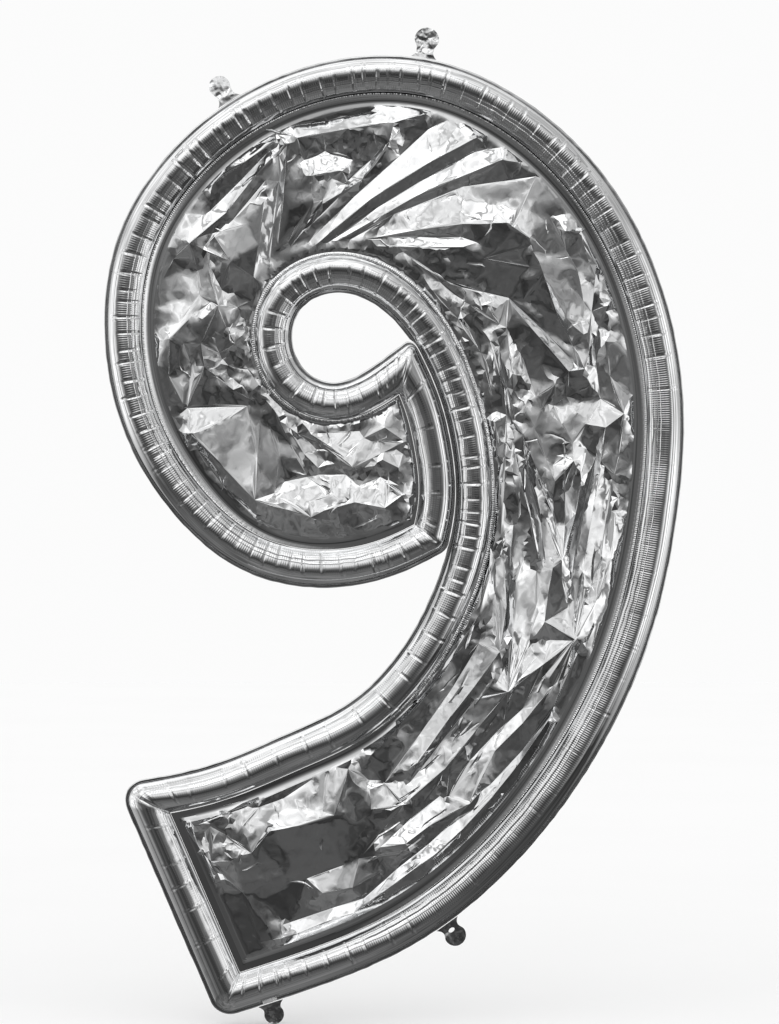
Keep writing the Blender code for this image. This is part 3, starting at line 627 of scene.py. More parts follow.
class Run:
    """One smooth stretch of the rim between two corners; its outer side is on its left."""

    def __init__(self, knots, start, end):
        self.at, self.points = cubic_through(knots)
        self.length = self.at[-1]
        self.along = unit(np.gradient(self.points, axis=0))
        self.start = start
        self.end = end

    def sample(self, table, distance):
        """Rows of a per-point table at distances along the run."""
        return np.column_stack([np.interp(distance, self.at, table[:, axis]) for axis in (0, 1)])

    def side(self, distance, side):
        """Points on the tube's outer (+1) or inner (-1) silhouette."""
        along = unit(self.sample(self.along, distance))
        return self.sample(self.points, distance) + side * RIM_RADIUS * left_of(along)

    def outer(self, distance):
        """Outer silhouette points; distances past the run's ends go on round its corners."""
        points = self.side(distance, 1)
        ends = ((self.start, -distance, 0, -1), (self.end, distance - self.length, -1, 1))
        for corner, beyond, index, sign in ends:
            past = beyond > 0
            onward = sign * self.along[index]
            outward = left_of(self.along[[index]])[0]
            base = self.points[index] + RIM_RADIUS * outward
            ahead = np.minimum(beyond[past], corner.straight)[:, None]
            angle = (np.maximum(beyond[past] - corner.straight, 0) / corner.rounding)[:, None]
            arc = np.sin(angle) * onward - (1 - np.cos(angle)) * outward
            points[past] = base + onward * ahead + corner.rounding * arc
        return points

    def ribs(self, distance):
        """Outer and inner silhouette points of the ribs that cross the run at distances."""
        reach = min(CORNER_REACH, self.length / 2)
        near_start = np.clip(1 - distance / reach, 0, 1) ** 2
        near_end = np.clip(1 - (self.length - distance) / reach, 0, 1) ** 2
        inner_at = distance + near_start * self.start.trim_after - near_end * self.end.trim_before
        outer_at = distance - near_start * self.start.outer_reach + near_end * self.end.outer_reach
        return self.outer(outer_at), self.side(inner_at, -1)


def build_runs():
    """The rim's four runs, in order round the outline."""
    foot_top = Corner(FOOT_CORNER)
    notch = Corner(NOTCH_CORNER)
    chin = Corner(CHIN_CORNER)
    foot_bottom = Corner(FOOT_CORNER)
    runs = [
        Run(STEM_AND_COUNTER, foot_top, notch),
        Run(TERMINAL, notch, chin),
        Run(BOWL_AND_SPINE, chin, foot_bottom),
        Run(FOOT_END, foot_bottom, foot_top),
    ]
    for run, following in zip(runs, runs[1:] + runs[:1]):
        run.end.join(run, following)
    return runs


def spread(values, sigma):
    """Gaussian smoothing of a closed series of values; sigma is in samples."""
    half = int(3 * sigma)
    weights = np.exp(-0.5 * (np.arange(-half, half + 1) / sigma) ** 2)
    padded = np.concatenate((values[-half:], values, values[:half]))
    return np.convolve(padded, weights / weights.sum(), mode="valid")


class Rim:
    """Closely spaced stations round the whole rim."""

    def __init__(self, runs, box):
        outer, inner, at, index, step = [], [], [], [], []
        for number, run in enumerate(runs):
            count = int(round(run.length / STATION_STEP))
            distance = np.arange(count) * run.length / count
            ends = run.ribs(distance)
            outer.append(ends[0])
            inner.append(ends[1])
            at.append(distance)
            index.append(np.full(count, number))
            step.append(np.full(count, run.length / count))
        self.runs = runs
        self.at = np.concatenate(at)
        self.run = np.concatenate(index)
        outer, inner, step = np.concatenate(outer), np.concatenate(inner), np.concatenate(step)
        self.shift = np.array(((box[0].x + box[1].x) / 2, (box[0].z + box[1].z) / 2))
        self.shift -= (outer.min(axis=0) + outer.max(axis=0)) / 2
        self.outer = outer + self.shift
        self.inner = inner + self.shift
        self.travelled = np.cumsum(step) - step
        self.length = step.sum()
        self.bend = self.signed_bend()

    def signed_bend(self):
        """Curvature per metre, positive where the tube bends round its inner side."""
        bends = []
        for number, run in enumerate(self.runs):
            heading = np.unwrap(np.arctan2(run.along[:, 1], run.along[:, 0]))
            bend = -np.gradient(heading, run.at)
            bends.append(np.interp(self.at[self.run == number], run.at, bend))
        return spread(np.concatenate(bends), BEND_EASE)

    def on(self, run, span):
        """1 where a station lies on a span of a run, 0 elsewhere."""
        return ((self.run == run) & (self.at >= span[0]) & (self.at < span[1])).astype(float)


def rim_surface(rim, foot_height):
    """Base points of the rim's front half, per station and profile step, as x, height and z,
    with the share of the width that each point lies from the outer edge."""
    angles = np.linspace(0, LAST_ANGLE, PROFILE_STEPS)[None]
    crown = rim.crown[:, None]
    outer_part = crown * (1 - np.cos(angles))
    inner_part = crown - (1 - crown) * np.cos(angles) / math.cos(math.pi - LAST_ANGLE)
    share = np.where(angles <= math.pi / 2, outer_part, inner_part)
    foot = foot_height[:, None]
    last = math.sin(LAST_ANGLE)
    inner_rise = foot + (RIM_RADIUS - foot) * (np.sin(angles) - last) / (1 - last)
    rise = np.where(angles <= math.pi / 2, RIM_RADIUS * np.sin(angles), inner_rise)
    plan = rim.outer[:, None] + (rim.inner - rim.outer)[:, None] * share[:, :, None]
    return np.stack((plan[:, :, 0], rise, plan[:, :, 1]), axis=2), share


def grid_normals(points):
    """Unit normals of a grid that is closed along its first axis, pointing outward."""
    across = np.gradient(points, axis=1)
    normals = np.cross(ring_direction(points), across)
    normals /= np.linalg.norm(normals, axis=2)[:, :, None] + 1e-12
    return normals


def crease_places(rng, rim):
    """Distances round the rim at which it is nipped crosswise, and how deep each nip is."""
    places = []
    depths = []
    at = FIRST_NIP
    while at < rim.length - FIRST_NIP:
        station = np.searchsorted(rim.travelled, at) - 1
        calm = rim.calm[station]
        places.append(at)
        depths.append(rng.uniform(*NIP_VARIES) * (1 - CALMING * calm))
        at += rng.uniform(*NIP_PITCH) * MM * (1 + CALM_PITCH * calm)
    return np.array(places), np.array(depths)


def puckered_side(rim, share):
    """Position across the tube's puckered side: 0 at the crown line, 1 at the foot."""
    crown = rim.crown[:, None]
    return np.where(rim.lean[:, None] >= 0, (share - crown) / (1 - crown), (crown - share) / crown)


def rim_relief(rng, rim, share):
    """Height of the puckers, nips and long facets above the smooth tube."""
    side = puckered_side(rim, share)
    band = smoothstep(side, *PUCKERS_BEGIN) * (1 - smoothstep(side, *PUCKERS_END))
    places, depths = crease_places(rng, rim)
    relief = PILLOW_HEIGHT * pillows(rim, places) * band * (1 - CALMING * rim.calm[:, None])
    for place, depth in zip(places, depths):
        relief += nip_relief(rng, rim, side, place, depth, rng.uniform(*NIP_END))
        for _ in range(rng.integers(*SIDE_NIPS)):
            beside = place + rng.uniform(-SIDE_NIP_AWAY, SIDE_NIP_AWAY) * MM
            relief += nip_relief(rng, rim, side, beside, 0.5 * depth, rng.uniform(*SIDE_NIP_END))
    for middle, width, height, broken in LONG_FACETS:
        drift = FACET_DRIFT * wander(rng, rim.travelled, FACET_DRIFT_SPACING)[:, None]
        strength = 1 - broken * (0.5 + 0.5 * wander(rng, rim.travelled, FACET_BREAKS))[:, None]
        relief += height * MM * strength * np.exp(-(((side - middle - drift) / width) ** 2))
    for spacing, height in SWAYS:
        for power in (0, 1, 2):
            sway = wander(rng, rim.travelled, spacing * MM)[:, None]
            relief += height * MM * sway * np.sin(math.pi * share) ** 2 * (side**power) / (1 + power)
    return relief - mitre_creases(rim, share), band


def pillows(rim, places):
    """How far each station bulges between the nips at the two places on either side of it."""
    following = np.searchsorted(places, rim.travelled)
    before = places[np.clip(following - 1, 0, len(places) - 1)]
    after = places[np.clip(following, 0, len(places) - 1)]
    part = np.clip((rim.travelled - before) / np.maximum(after - before, 1 * MM), 0, 1)
    return (4 * part * (1 - part))[:, None] ** PILLOW_ROUNDNESS


def mitre_creases(rim, share):
    """Depth of the creases on the mitre lines of the corners."""
    depth = np.zeros(share.shape)
    for run in range(len(rim.runs)):
        start = np.argmax(rim.run == run)
        apart = np.abs(np.arange(len(rim.run)) - start)
        apart = np.minimum(apart, len(rim.run) - apart)[:, None] * STATION_STEP
        depth += MITRE_DEPTH * np.exp(-apart / MITRE_WIDTH) * smoothstep(share, *MITRE_BEGIN)
    return depth


def nip_relief(rng, rim, side, place, depth, reach):
    """One sharp crosswise nip from the crown part of the way down the puckered side."""
    relief = np.zeros(side.shape)
    close = np.abs(rim.travelled - place) < NIP_REACH
    skew = rng.uniform(-NIP_SKEW, NIP_SKEW) * MM * side[close]
    zigzag = NIP_ZIGZAG * np.sin(side[close] * ZIGZAGS + rng.uniform(*ZIGZAG_PHASE))
    start = rng.uniform(*NIP_BEGIN)
    width = rng.uniform(*NIP_WIDTH) * MM
    apart = np.abs(rim.travelled[close][:, None] - place - skew - zigzag)
    along = smoothstep(side[close], start, start + NIP_EASE)
    along *= 1 - smoothstep(side[close], reach - NIP_EASE, reach)
    lips = np.exp(-(((apart - LIP_AT) / LIP_WIDTH) ** 2))
    relief[close] = -NIP_DEPTH * depth * (np.exp(-apart / width) - LIP_HEIGHT * lips) * along
    return relief


def new_mesh(name, points, faces, material):
    """A smooth-shaded object from points and faces."""
    mesh = bpy.data.meshes.new(name)
    mesh.from_pydata([tuple(point) for point in points], [], faces)
    mesh.materials.append(material)
    mesh.shade_smooth()
    mesh.update()
    obj = bpy.data.objects.new(name, mesh)
    bpy.context.scene.collection.objects.link(obj)
    return obj


def ring_faces(stations, size, flip):
    """Quads of a closed tube made of closed cross-section loops."""
    here = np.arange(stations)[:, None] * size
    there = ((np.arange(stations) + 1) % stations)[:, None] * size
    k = np.arange(size)[None]
    following = (k + 1) % size
    quads = np.stack((here + k, here + following, there + following, there + k), axis=2).reshape(-1, 4)
    if flip:
        quads = quads[:, ::-1]
    return quads.tolist()


def point_attribute(obj, name, values):
    """Store one number per vertex for the material to read."""
    attribute = obj.data.attributes.new(name, "FLOAT", "POINT")
    attribute.data.foreach_set("value", np.asarray(values, np.float32))


def build_rim_film(name, side, rim, material):
    """The front or back half of the inflated tube, as a thin closed shell."""
    rng = np.random.default_rng(SEEDS[name])
    base, share = rim_surface(rim, rim.foot_height)
    normals = grid_normals(base)
    relief, band = rim_relief(rng, rim, share)
    relief *= smoothstep(share, *RELIEF_BEGIN) * (1 - smoothstep(share, *RELIEF_END))
    lining = []
    for place, rise in LINING:
        across = rim.crown if place is None else np.full(len(rim.at), place)
        plan = rim.outer + (rim.inner - rim.outer) * across[:, None]
        height = np.full(len(rim.at), rise * RIM_RADIUS)
        lining.append(np.column_stack((plan[:, 0], height, plan[:, 1])))
    surface = np.concatenate((base + normals * relief[:, :, None], np.stack(lining, axis=1)), axis=1)
    size = surface.shape[1]
    points = surface.reshape(-1, 3)
    points[:, 1] = side * (SHEET_GAP + points[:, 1])
    faces = ring_faces(len(rim.at), size, side == BACK)
    obj = new_mesh(name + "_puckered", points, faces, material)
    ribbing = np.zeros((len(rim.at), size))
    ribbing[:, :PROFILE_STEPS] = band * rim.ribbing[:, None]
    across = np.full((len(rim.at), size), -1.0)
    across[:, :PROFILE_STEPS] = np.clip(puckered_side(rim, share), -1, 1)
    point_attribute(obj, "ribbing", ribbing.ravel())
    point_attribute(obj, "around", np.repeat(rim.travelled, size))
    point_attribute(obj, "puckered_side", across.ravel())
    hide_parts(name)
    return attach(obj, "balloon")


def set_rim_character(rim):
    """Where the tube leans, lies calm, shows fine ribbing or stands high above the web."""
    rim.lean = np.clip(rim.bend * TIGHT_RADIUS, -1, 1)
    rim.lean[rim.run == FOOT_RUN] = FOOT_END_LEAN
    rim.lean = spread(rim.lean, LEAN_EASE)
    rim.crown = 0.5 - LEAN * rim.lean
    straight = spread(np.isin(rim.run, (TERMINAL_RUN, FOOT_RUN)).astype(float), CORNER_EASE)
    rim.calm = STRAIGHT_CALM * straight
    for run, span, strength in CALM_STRETCHES:
        rim.calm = np.maximum(rim.calm, spread(strength * rim.on(run, span), CALM_EASE))
    ribbing = np.full(len(rim.at), PLAIN_RIBBING)
    for span, strength in RIBBED_STRETCHES:
        ribbing = np.maximum(ribbing, strength * rim.on(BOWL_RUN, span))
    rim.ribbing = spread(ribbing, RIB_EASE) * (1 - CALMING * straight)
    high = np.zeros(len(rim.at))
    for run, foot in ((BOWL_RUN, BOWL_FOOT), (STEM_RUN, STEM_FOOT)):
        high[rim.run == run] = np.interp(rim.at[rim.run == run], *foot)
    rim.foot_height = spread(high, FOOT_EASE) * FOOT_RISE
    beside_stem = np.maximum(rim.on(STEM_RUN, BESIDE_STEM), rim.run == TERMINAL_RUN)
    rim.strip = STRIP_WIDTH + (STEM_STRIP_WIDTH - STRIP_WIDTH) * spread(beside_stem, STRIP_EASE)


def node(tree, kind, inputs=None, **properties):
    """Add a shader node, set its properties and connect or fill its inputs."""
    made = tree.nodes.new(kind)
    for key, value in properties.items():
        setattr(made, key, value)
    for key, value in (inputs or {}).items():
        if isinstance(value, bpy.types.NodeSocket):
            tree.links.new(value, made.inputs[key])
        else:
            made.inputs[key].default_value = value
    return made


def maths(tree, operation, first, second=0.0, third=0.0):
    """The output of a maths node."""
    made = node(tree, "ShaderNodeMath", {0: first, 1: second, 2: third}, operation=operation)
    return made.outputs[0]


def ramp(tree, value, stops):
    """A piecewise-linear curve of greys; stops are position and brightness."""
    made = node(tree, "ShaderNodeValToRGB", {"Fac": value})
    elements = made.color_ramp.elements
    while len(elements) < len(stops):
        elements.new(0.5)
    for element, (position, grey) in zip(elements, stops):
        element.position = position
        element.color = (grey, grey, grey, 1)
    return made.outputs["Color"]


def noise(tree, place, scale, detail):
    """The value of a noise texture at a place."""
    inputs = {"Vector": place, "Scale": scale, "Detail": detail}
    return node(tree, "ShaderNodeTexNoise", inputs).outputs["Fac"]


def new_material(name):
    """A material with its node tree, its shader and the object's own coordinates."""
    material = bpy.data.materials.new(name)
    material.use_nodes = True
    tree = material.node_tree
    place = node(tree, "ShaderNodeTexCoord").outputs["Object"]
    return material, tree, tree.nodes["Principled BSDF"], place


def foil_material(name, color, roughness, crinkle, swell=3.0, ribbed=False):
    """Metallised film: mirror bright, very finely crinkled, a little uneven in roughness."""
    material, tree, shader, place = new_material(name)
    cloud = noise(tree, place, 45.0, 3.0)
    fine = noise(tree, place, 420.0, 2.0)
    dull = (*(0.93 * channel for channel in color), 1)
    tint = node(tree, "ShaderNodeMix", {"Factor": cloud, 6: dull, 7: (*color, 1)}, data_type="RGBA")
    tree.links.new(tint.outputs[2], shader.inputs["Base Color"])
    shader.inputs["Metallic"].default_value = 1.0
    rough = maths(tree, "MULTIPLY_ADD", fine, roughness, roughness * 0.5)
    tree.links.new(rough, shader.inputs["Roughness"])
    height = maths(tree, "MULTIPLY", fine, crinkle)
    height = maths(tree, "MULTIPLY_ADD", noise(tree, place, 130.0, 1.0), crinkle * swell, height)
    if ribbed:
        height = rib_height(tree, place, height)
    bump = node(tree, "ShaderNodeBump", {"Height": height, "Distance": 1.0, "Strength": 1.0})
    tree.links.new(bump.outputs["Normal"], shader.inputs["Normal"])
    return material


def rib_height(tree, place, height):
    """Add the rim's fine ribs and its broken crease lines to a bump height."""
    around, strength, side = (
        node(tree, "ShaderNodeAttribute", attribute_name=name).outputs["Fac"]
        for name in ("around", "ribbing", "puckered_side")
    )
    patchy = ramp(tree, noise(tree, place, 28.0, 1.0), ((0.35, 0.25), (0.6, 1.0)))
    wave = maths(tree, "SINE", maths(tree, "MULTIPLY", around, 2 * math.pi / RIB_PITCH))
    wave = maths(tree, "MULTIPLY", wave, maths(tree, "MULTIPLY", strength, patchy))
    height = maths(tree, "MULTIPLY_ADD", wave, RIB_HEIGHT / 2, height)
    side = maths(tree, "MULTIPLY_ADD", noise(tree, place, 75.0, 3.0), RING_CREASE_SWAY, side)
    for middle, share in RING_CREASES:
        line = maths(tree, "ABSOLUTE", maths(tree, "SUBTRACT", side, middle + RING_CREASE_SWAY / 2))
        line = ramp(tree, line, ((0.0, 1.0), (RING_CREASE_WIDTH, 0.0)))
        tall = maths(tree, "MULTIPLY", strength, share * RING_CREASE_HEIGHT)
        height = maths(tree, "ADD", height, maths(tree, "MULTIPLY", line, tall))
    return height


def even_ring(points, step):
    """A closed ring resampled at even steps, with each sample's place in the old ring."""
    closed = np.vstack((points, points[:1]))
    steps = np.linalg.norm(np.diff(closed, axis=0), axis=1)
    travelled = np.concatenate(([0.0], np.cumsum(steps)))
    even = np.linspace(0, travelled[-1], int(travelled[-1] / step), endpoint=False)
    ring = np.column_stack([np.interp(even, travelled, closed[:, axis]) for axis in (0, 1)])
    place = np.interp(even, travelled, np.arange(len(closed)))
    return ring, place


def triangulate(points, edges):
    """Constrained Delaunay triangles inside the first closed loop of edges."""
    corners = [Vector(point) for point in points]
    verts, _, faces, sources, _, _ = delaunay_2d_cdt(corners, edges, [], INSIDE_ONLY, SAME_POINT)
    source = np.array([origin[0] if origin else -1 for origin in sources])
    return np.array([tuple(vert) for vert in verts]), np.array([list(face) for face in faces]), source


def nearest_distance(points, ring):
    """Distance from each point to the ring's samples, and the nearest sample's index."""
    distance = np.empty(len(points))
    index = np.empty(len(points), int)
    for start in range(0, len(points), 2000):
        part = points[start : start + 2000]
        squared = ((part[:, None] - ring[None]) ** 2).sum(axis=2)
        index[start : start + 2000] = squared.argmin(axis=1)
        distance[start : start + 2000] = np.sqrt(squared.min(axis=1))
    return distance, index


def inside(points, ring):
    """Which points lie inside a closed ring."""
    result = np.zeros(len(points), bool)
    x, y = points[:, 0], points[:, 1]
    for (x0, y0), (x1, y1) in zip(ring, np.roll(ring, -1, axis=0)):
        crosses = (y0 > y) != (y1 > y)
        result ^= crosses & (x < (x1 - x0) * (y - y0) / (y1 - y0 + 1e-15) + x0)
    return result


def interpolate(verts, heights, faces, points):
    """Heights at points on the triangulated surface."""
    result = np.zeros(len(points))
    order = np.argsort(points[:, 0])
    xs = points[order, 0]
    for face in faces:
        a, b, c = verts[face]
        low = np.searchsorted(xs, min(a[0], b[0], c[0]) - 1e-6)
        high = np.searchsorted(xs, max(a[0], b[0], c[0]) + 1e-6)
        some = order[low:high]
        if not len(some):
            continue
        area = (b[0] - a[0]) * (c[1] - a[1]) - (c[0] - a[0]) * (b[1] - a[1])
        if abs(area) < 1e-14:
            continue
        p = points[some] - a
        u = (p[:, 0] * (c[1] - a[1]) - (c[0] - a[0]) * p[:, 1]) / area
        v = ((b[0] - a[0]) * p[:, 1] - p[:, 0] * (b[1] - a[1])) / area
        hit = (u >= -1e-6) & (v >= -1e-6) & (u + v <= 1 + 1e-6)
        ha, hb, hc = heights[face]
        result[some[hit]] = ha + u[hit] * (hb - ha) + v[hit] * (hc - ha)
    return result


def scattered(rng, low, high, spacing):
    """Jittered points over a rectangle."""
    across = np.arange(low[0], high[0], spacing)
    up = np.arange(low[1], high[1], spacing)
    grid = np.stack(np.meshgrid(across, up), axis=2).reshape(-1, 2)
    grid[:, 0] += (np.round(grid[:, 1] / spacing) % 2) * spacing / 2
    return grid + rng.uniform(-0.36, 0.36, grid.shape) * spacing


def known_heights(values, source, faces):
    """Heights of triangulated points; those made where folds cross take their neighbours' mean."""
    heights = np.where(source >= 0, values[np.maximum(source, 0)], np.nan)
    edges = np.concatenate((faces[:, [0, 1]], faces[:, [1, 2]], faces[:, [2, 0]]))
    for _ in range(4):
        unknown = np.isnan(heights)
        if not unknown.any():
            break
        useful = edges[unknown[edges[:, 0]] & ~unknown[edges[:, 1]]]
        total = np.bincount(useful[:, 0], heights[useful[:, 1]], len(heights))
        count = np.bincount(useful[:, 0], minlength=len(heights))
        found = unknown & (count > 0)
        heights[found] = total[found] / count[found]
    return np.nan_to_num(heights, nan=WEB_REST)


class Border:
    """The web's border ring, with what lies beside each of its points."""

    def __init__(self, rim):
        ring, place = even_ring(rim.inner, BORDER_STEP)
        self.outward = left_of(unit(ring_direction(ring)))
        self.ring = ring - self.outward * SEAM_GAP
        stations = np.arange(len(rim.at) + 1)
        self.foot = np.interp(place, stations, np.append(rim.foot_height, rim.foot_height[0]))
        self.strip = np.interp(place, stations, np.append(rim.strip, rim.strip[0]))


class Sheet:
    """The web in plan: points with heights, the border's first, and the edges that join them."""

    def __init__(self, border):
        self.points = border.ring
        self.heights = np.zeros(len(border.ring))
        self.edges = closed_edges(0, len(border.ring))
        self.border_size = len(border.ring)

    def add(self, points, heights):
        """Add points with their heights."""
        self.points = np.vstack((self.points, np.reshape(points, (-1, 2))))
        self.heights = np.concatenate((self.heights, heights))

    def clearance(self, points):
        """How far each point lies from the sheet's own points inside its border."""
        return nearest_distance(points, self.points[self.border_size :])[0]

    def surface(self):
        """The creased surface: its points, heights and triangles, and the sheet point behind each."""
        verts, faces, source = triangulate(self.points, self.edges)
        return verts, known_heights(self.heights, source, faces), faces, source


def crumple_strength(points, level):
    """How high the crumples of one level are at each point, in millimetres."""
    strength = np.full(len(points), CRUMPLE_HEIGHT[level])
    for x, z, reach, medium, fine in CRUMPLES:
        apart = np.linalg.norm(points / MM - np.array((x, z)), axis=1)
        weight = 1 - smoothstep(apart, reach * 0.6, reach)
        strength = strength * (1 - weight) + (medium, fine)[level] * weight
    return strength


def in_stem(point):
    """1 for a point of the web that lies in the stem, 0 for any other."""
    return int(point[0] > STEM_LEFT and point[1] < STEM_TOP)


def wrinkle_line(rng, start, tangent):
    """A slightly bent line across the web; in the stem it is longer and follows the tangent."""
    stem = in_stem(start)
    heading = rng.uniform(0, math.pi)
    number = rng.integers(*WRINKLE_POINTS[0])
    if stem:
        stray = rng.uniform(-STEM_WRINKLE_STRAY, STEM_WRINKLE_STRAY)
        heading = math.atan2(tangent[1], tangent[0]) + stray
        number = rng.integers(*WRINKLE_POINTS[1])
    line = []
    place = start
    for _ in range(number):
        line.append(place)
        heading += rng.uniform(-WRINKLE_BEND[stem], WRINKLE_BEND[stem])
        step = rng.uniform(*WRINKLE_STEP) * MM
        place = place + step * np.array((math.cos(heading), math.sin(heading)))
    return np.array(line)


def wrinkle_lines(rng, border, sheet):
    """Lines in free places of the web, most of them in crumpled parts."""
    ring = border.ring
    starts = rng.uniform(ring.min(axis=0), ring.max(axis=0), (WRINKLE_PLACES, 2))
    starts = starts[inside(starts, ring)]
    chance = crumple_strength(starts, 1) + WRINKLE_CHANCE[0]
    starts = starts[chance > rng.uniform(0, WRINKLE_CHANCE[1], len(starts))][:WRINKLES]
    _, beside = nearest_distance(starts, ring)
    taken = sheet.points[sheet.border_size :]
    lines = []
    for start, tangent in zip(starts, ring_direction(ring)[beside]):
        line = wrinkle_line(rng, start, tangent)
        away, nearest = nearest_distance(line, ring)
        clear, _ = nearest_distance(line, taken)
        free = clear.min() >= WRINKLE_SPACING[in_stem(start)]
        if free and (away - border.strip[nearest]).min() >= WRINKLE_BORDER_GAP:
            taken = np.vstack((taken, line))
            lines.append(line)
    return lines


def add_wrinkles(rng, border, sheet):
    """Add thin ridges and grooves that fade along their length, each with a track on either side."""
    verts, heights, faces, _ = sheet.surface()
    tracks, rises = [], []
    first = len(sheet.points)
    for line in wrinkle_lines(rng, border, sheet):
        beside = left_of(unit(np.gradient(line, axis=0)))
        stem = in_stem(line[0])
        rise = rng.choice((-1, 1)) * rng.uniform(*WRINKLE_RISE) * MM
        rise = rise * np.linspace(1, 0.4, len(line)) * WRINKLE_TALLER[stem]
        width = rng.uniform(*WRINKLE_WIDTH) * MM * WRINKLE_WIDER[stem]
        for offset, share in ((0, 1.0), (width, 0.0), (-width, 0.0)):
            tracks.append(line + beside * offset)
            rises.append(rise * share)
            sheet.edges += [(first + k, first + k + 1) for k in range(len(line) - 1)]
            first += len(line)
    tracks = np.concatenate(tracks)
    base = interpolate(verts, heights, faces, tracks) + np.concatenate(rises)
    sheet.add(tracks, np.maximum(base, LOWEST_PLEAT))


def add_folds(rim, border, sheet, side):
    """Add the folds; points that lie too near the border are left out."""
    places = np.array([point for fold in WEB_FOLDS for point in fold])
    plan = places[:, :2] * MM + rim.shift
    usable = inside(plan, border.ring) & (nearest_distance(plan, border.ring)[0] > FOLD_CLEARANCE)
    fitting = {(x, z) for (x, z, _), fits in zip(places, usable) if fits}
    known, points, heights = {}, [], []
    for fold in WEB_FOLDS:
        previous = None
        for x, z, height in fold:
            if (x, z) not in fitting:
                previous = None
                continue
            if (x, z) not in known:
                known[(x, z)] = sheet.border_size + len(points)
                points.append((x * MM + rim.shift[0], z * MM + rim.shift[1]))
                height = FOLD_SPAN - height if side == BACK else height
                heights.append(max(height * MM, LOWEST_FOLD))
            if previous is not None:
                sheet.edges.append((previous, known[(x, z)]))
            previous = known[(x, z)]
    sheet.add(points, heights)


def add_fans(rng, sheet):
    """Split long panels that meet at a peak by straight pleats that radiate from the peak."""
    verts, heights, faces, source = sheet.surface()
    first, points, rises = len(sheet.points), [], []
    split = {}
    for face in faces:
        if source[face].min() < sheet.border_size:
            continue
        peak = int(np.argmax(heights[face]))
        apex, left, right = face[peak], face[(peak + 1) % 3], face[(peak + 2) % 3]
        span = np.linalg.norm(verts[left] - verts[right])
        reach = np.linalg.norm((verts[left] + verts[right]) / 2 - verts[apex])
        number = int(span / FAN_SPACING)
        if heights[apex] < FAN_PEAK or reach < FAN_REACH or number < 1:
            continue
        near, far = sorted((int(left), int(right)))
        if (near, far) not in split:
            split[(near, far)] = range(first + len(points), first + len(points) + number)
            for k in range(number):
                share = (k + 1 + rng.uniform(-FAN_STRAY, FAN_STRAY)) / (number + 1)
                height = heights[near] + (heights[far] - heights[near]) * share
                height += FAN_HEIGHT * (1 if k % 2 else -1) * rng.uniform(*FAN_VARIES)
                points.append(verts[near] + (verts[far] - verts[near]) * share)
                rises.append(max(height, LOWEST_PLEAT))
        sheet.edges += [(int(source[apex]), there) for there in split[(near, far)]]
    sheet.add(points, rises)


def add_strip(border, sheet):
    """Add rings of points in the smooth strip beside the rim."""
    for depth in STRIP_RINGS:
        wide = border.strip > depth * MM
        ring = border.ring[wide] - border.outward[wide] * depth * MM
        away, _ = nearest_distance(ring, border.ring)
        ring = ring[(away > 0.9 * depth * MM) & (sheet.clearance(ring) > STRIP_CLEARANCE)]
        ring = ring[:: 2 if depth > COARSE_STRIP else 1]
        sheet.add(ring, np.full(len(ring), WEB_REST))


def add_crumples(rng, border, sheet, level):
    """Scatter one level's crumpled points over what the folds leave free."""
    spacing = CRUMPLE_SPACING[level] * MM
    verts, heights, faces, _ = sheet.surface()
    extra = scattered(rng, border.ring.min(axis=0), border.ring.max(axis=0), spacing)
    extra = extra[inside(extra, border.ring)]
    away, nearest = nearest_distance(extra, border.ring)
    extra = extra[away > border.strip[nearest] + CRUMPLE_GAP[level] * MM]
    extra = extra[sheet.clearance(extra) > 0.5 * spacing]
    base = interpolate(verts, heights, faces, extra)
    base += rng.uniform(-1, 1, len(extra)) * crumple_strength(extra, level) * MM
    sheet.add(extra, base)


def crumpled_sheet(rng, rim, border, side):
    """The web in plan with its folds, fans, crumples and wrinkles."""
    sheet = Sheet(border)
    add_folds(rim, border, sheet, side)
    add_fans(rng, sheet)
    add_strip(border, sheet)
    add_crumples(rng, border, sheet, 0)
    add_wrinkles(rng, border, sheet)
    add_crumples(rng, border, sheet, 1)
    return sheet


def subdivide(verts, faces, heights, roundness):
    """Split each triangle in four by Loop's rule; roundness goes from sharp creases (0) to soft (1)."""
    edges = np.sort(np.concatenate((faces[:, [0, 1]], faces[:, [1, 2]], faces[:, [2, 0]])), axis=1)
    opposite = np.concatenate((faces[:, 2], faces[:, 0], faces[:, 1]))
    unique, inverse = np.unique(edges, axis=0, return_inverse=True)
    inverse = inverse.ravel()
    middles = verts[unique].mean(axis=1)
    flat = heights[unique].mean(axis=1)
    wing_sum = np.bincount(inverse, heights[opposite], len(unique))
    wing_count = np.bincount(inverse, minlength=len(unique))
    wing = wing_sum / wing_count
    soft = flat * 0.75 + wing * 0.25
    new_heights = np.where(wing_count == 2, flat + (soft - flat) * roundness, flat)
    count = np.bincount(unique.ravel(), minlength=len(verts))
    total = np.bincount(unique[:, 0], heights[unique[:, 1]], len(verts))
    total += np.bincount(unique[:, 1], heights[unique[:, 0]], len(verts))
    border = np.zeros(len(verts), bool)
    border[unique[wing_count == 1].ravel()] = True
    relaxed = heights + (total / count - heights) * 0.375 * roundness
    old_heights = np.where(border, heights, relaxed)
    n = len(verts)
    ab, bc, ca = (n + inverse[k * len(faces) : (k + 1) * len(faces)] for k in range(3))
    a, b, c = faces.T
    pieces = ((a, ab, ca), (ab, b, bc), (ca, bc, c), (ab, bc, ca))
    new_faces = np.concatenate([np.column_stack(piece) for piece in pieces])
    return np.vstack((verts, middles)), new_faces, np.concatenate((old_heights, new_heights))


def ring_indices(source, size):
    """Where the first points of a ring are among the triangulated ones."""
    index_of = {start: index for index, start in enumerate(source.tolist()) if start >= 0}
    return [index_of[i] for i in range(size)]


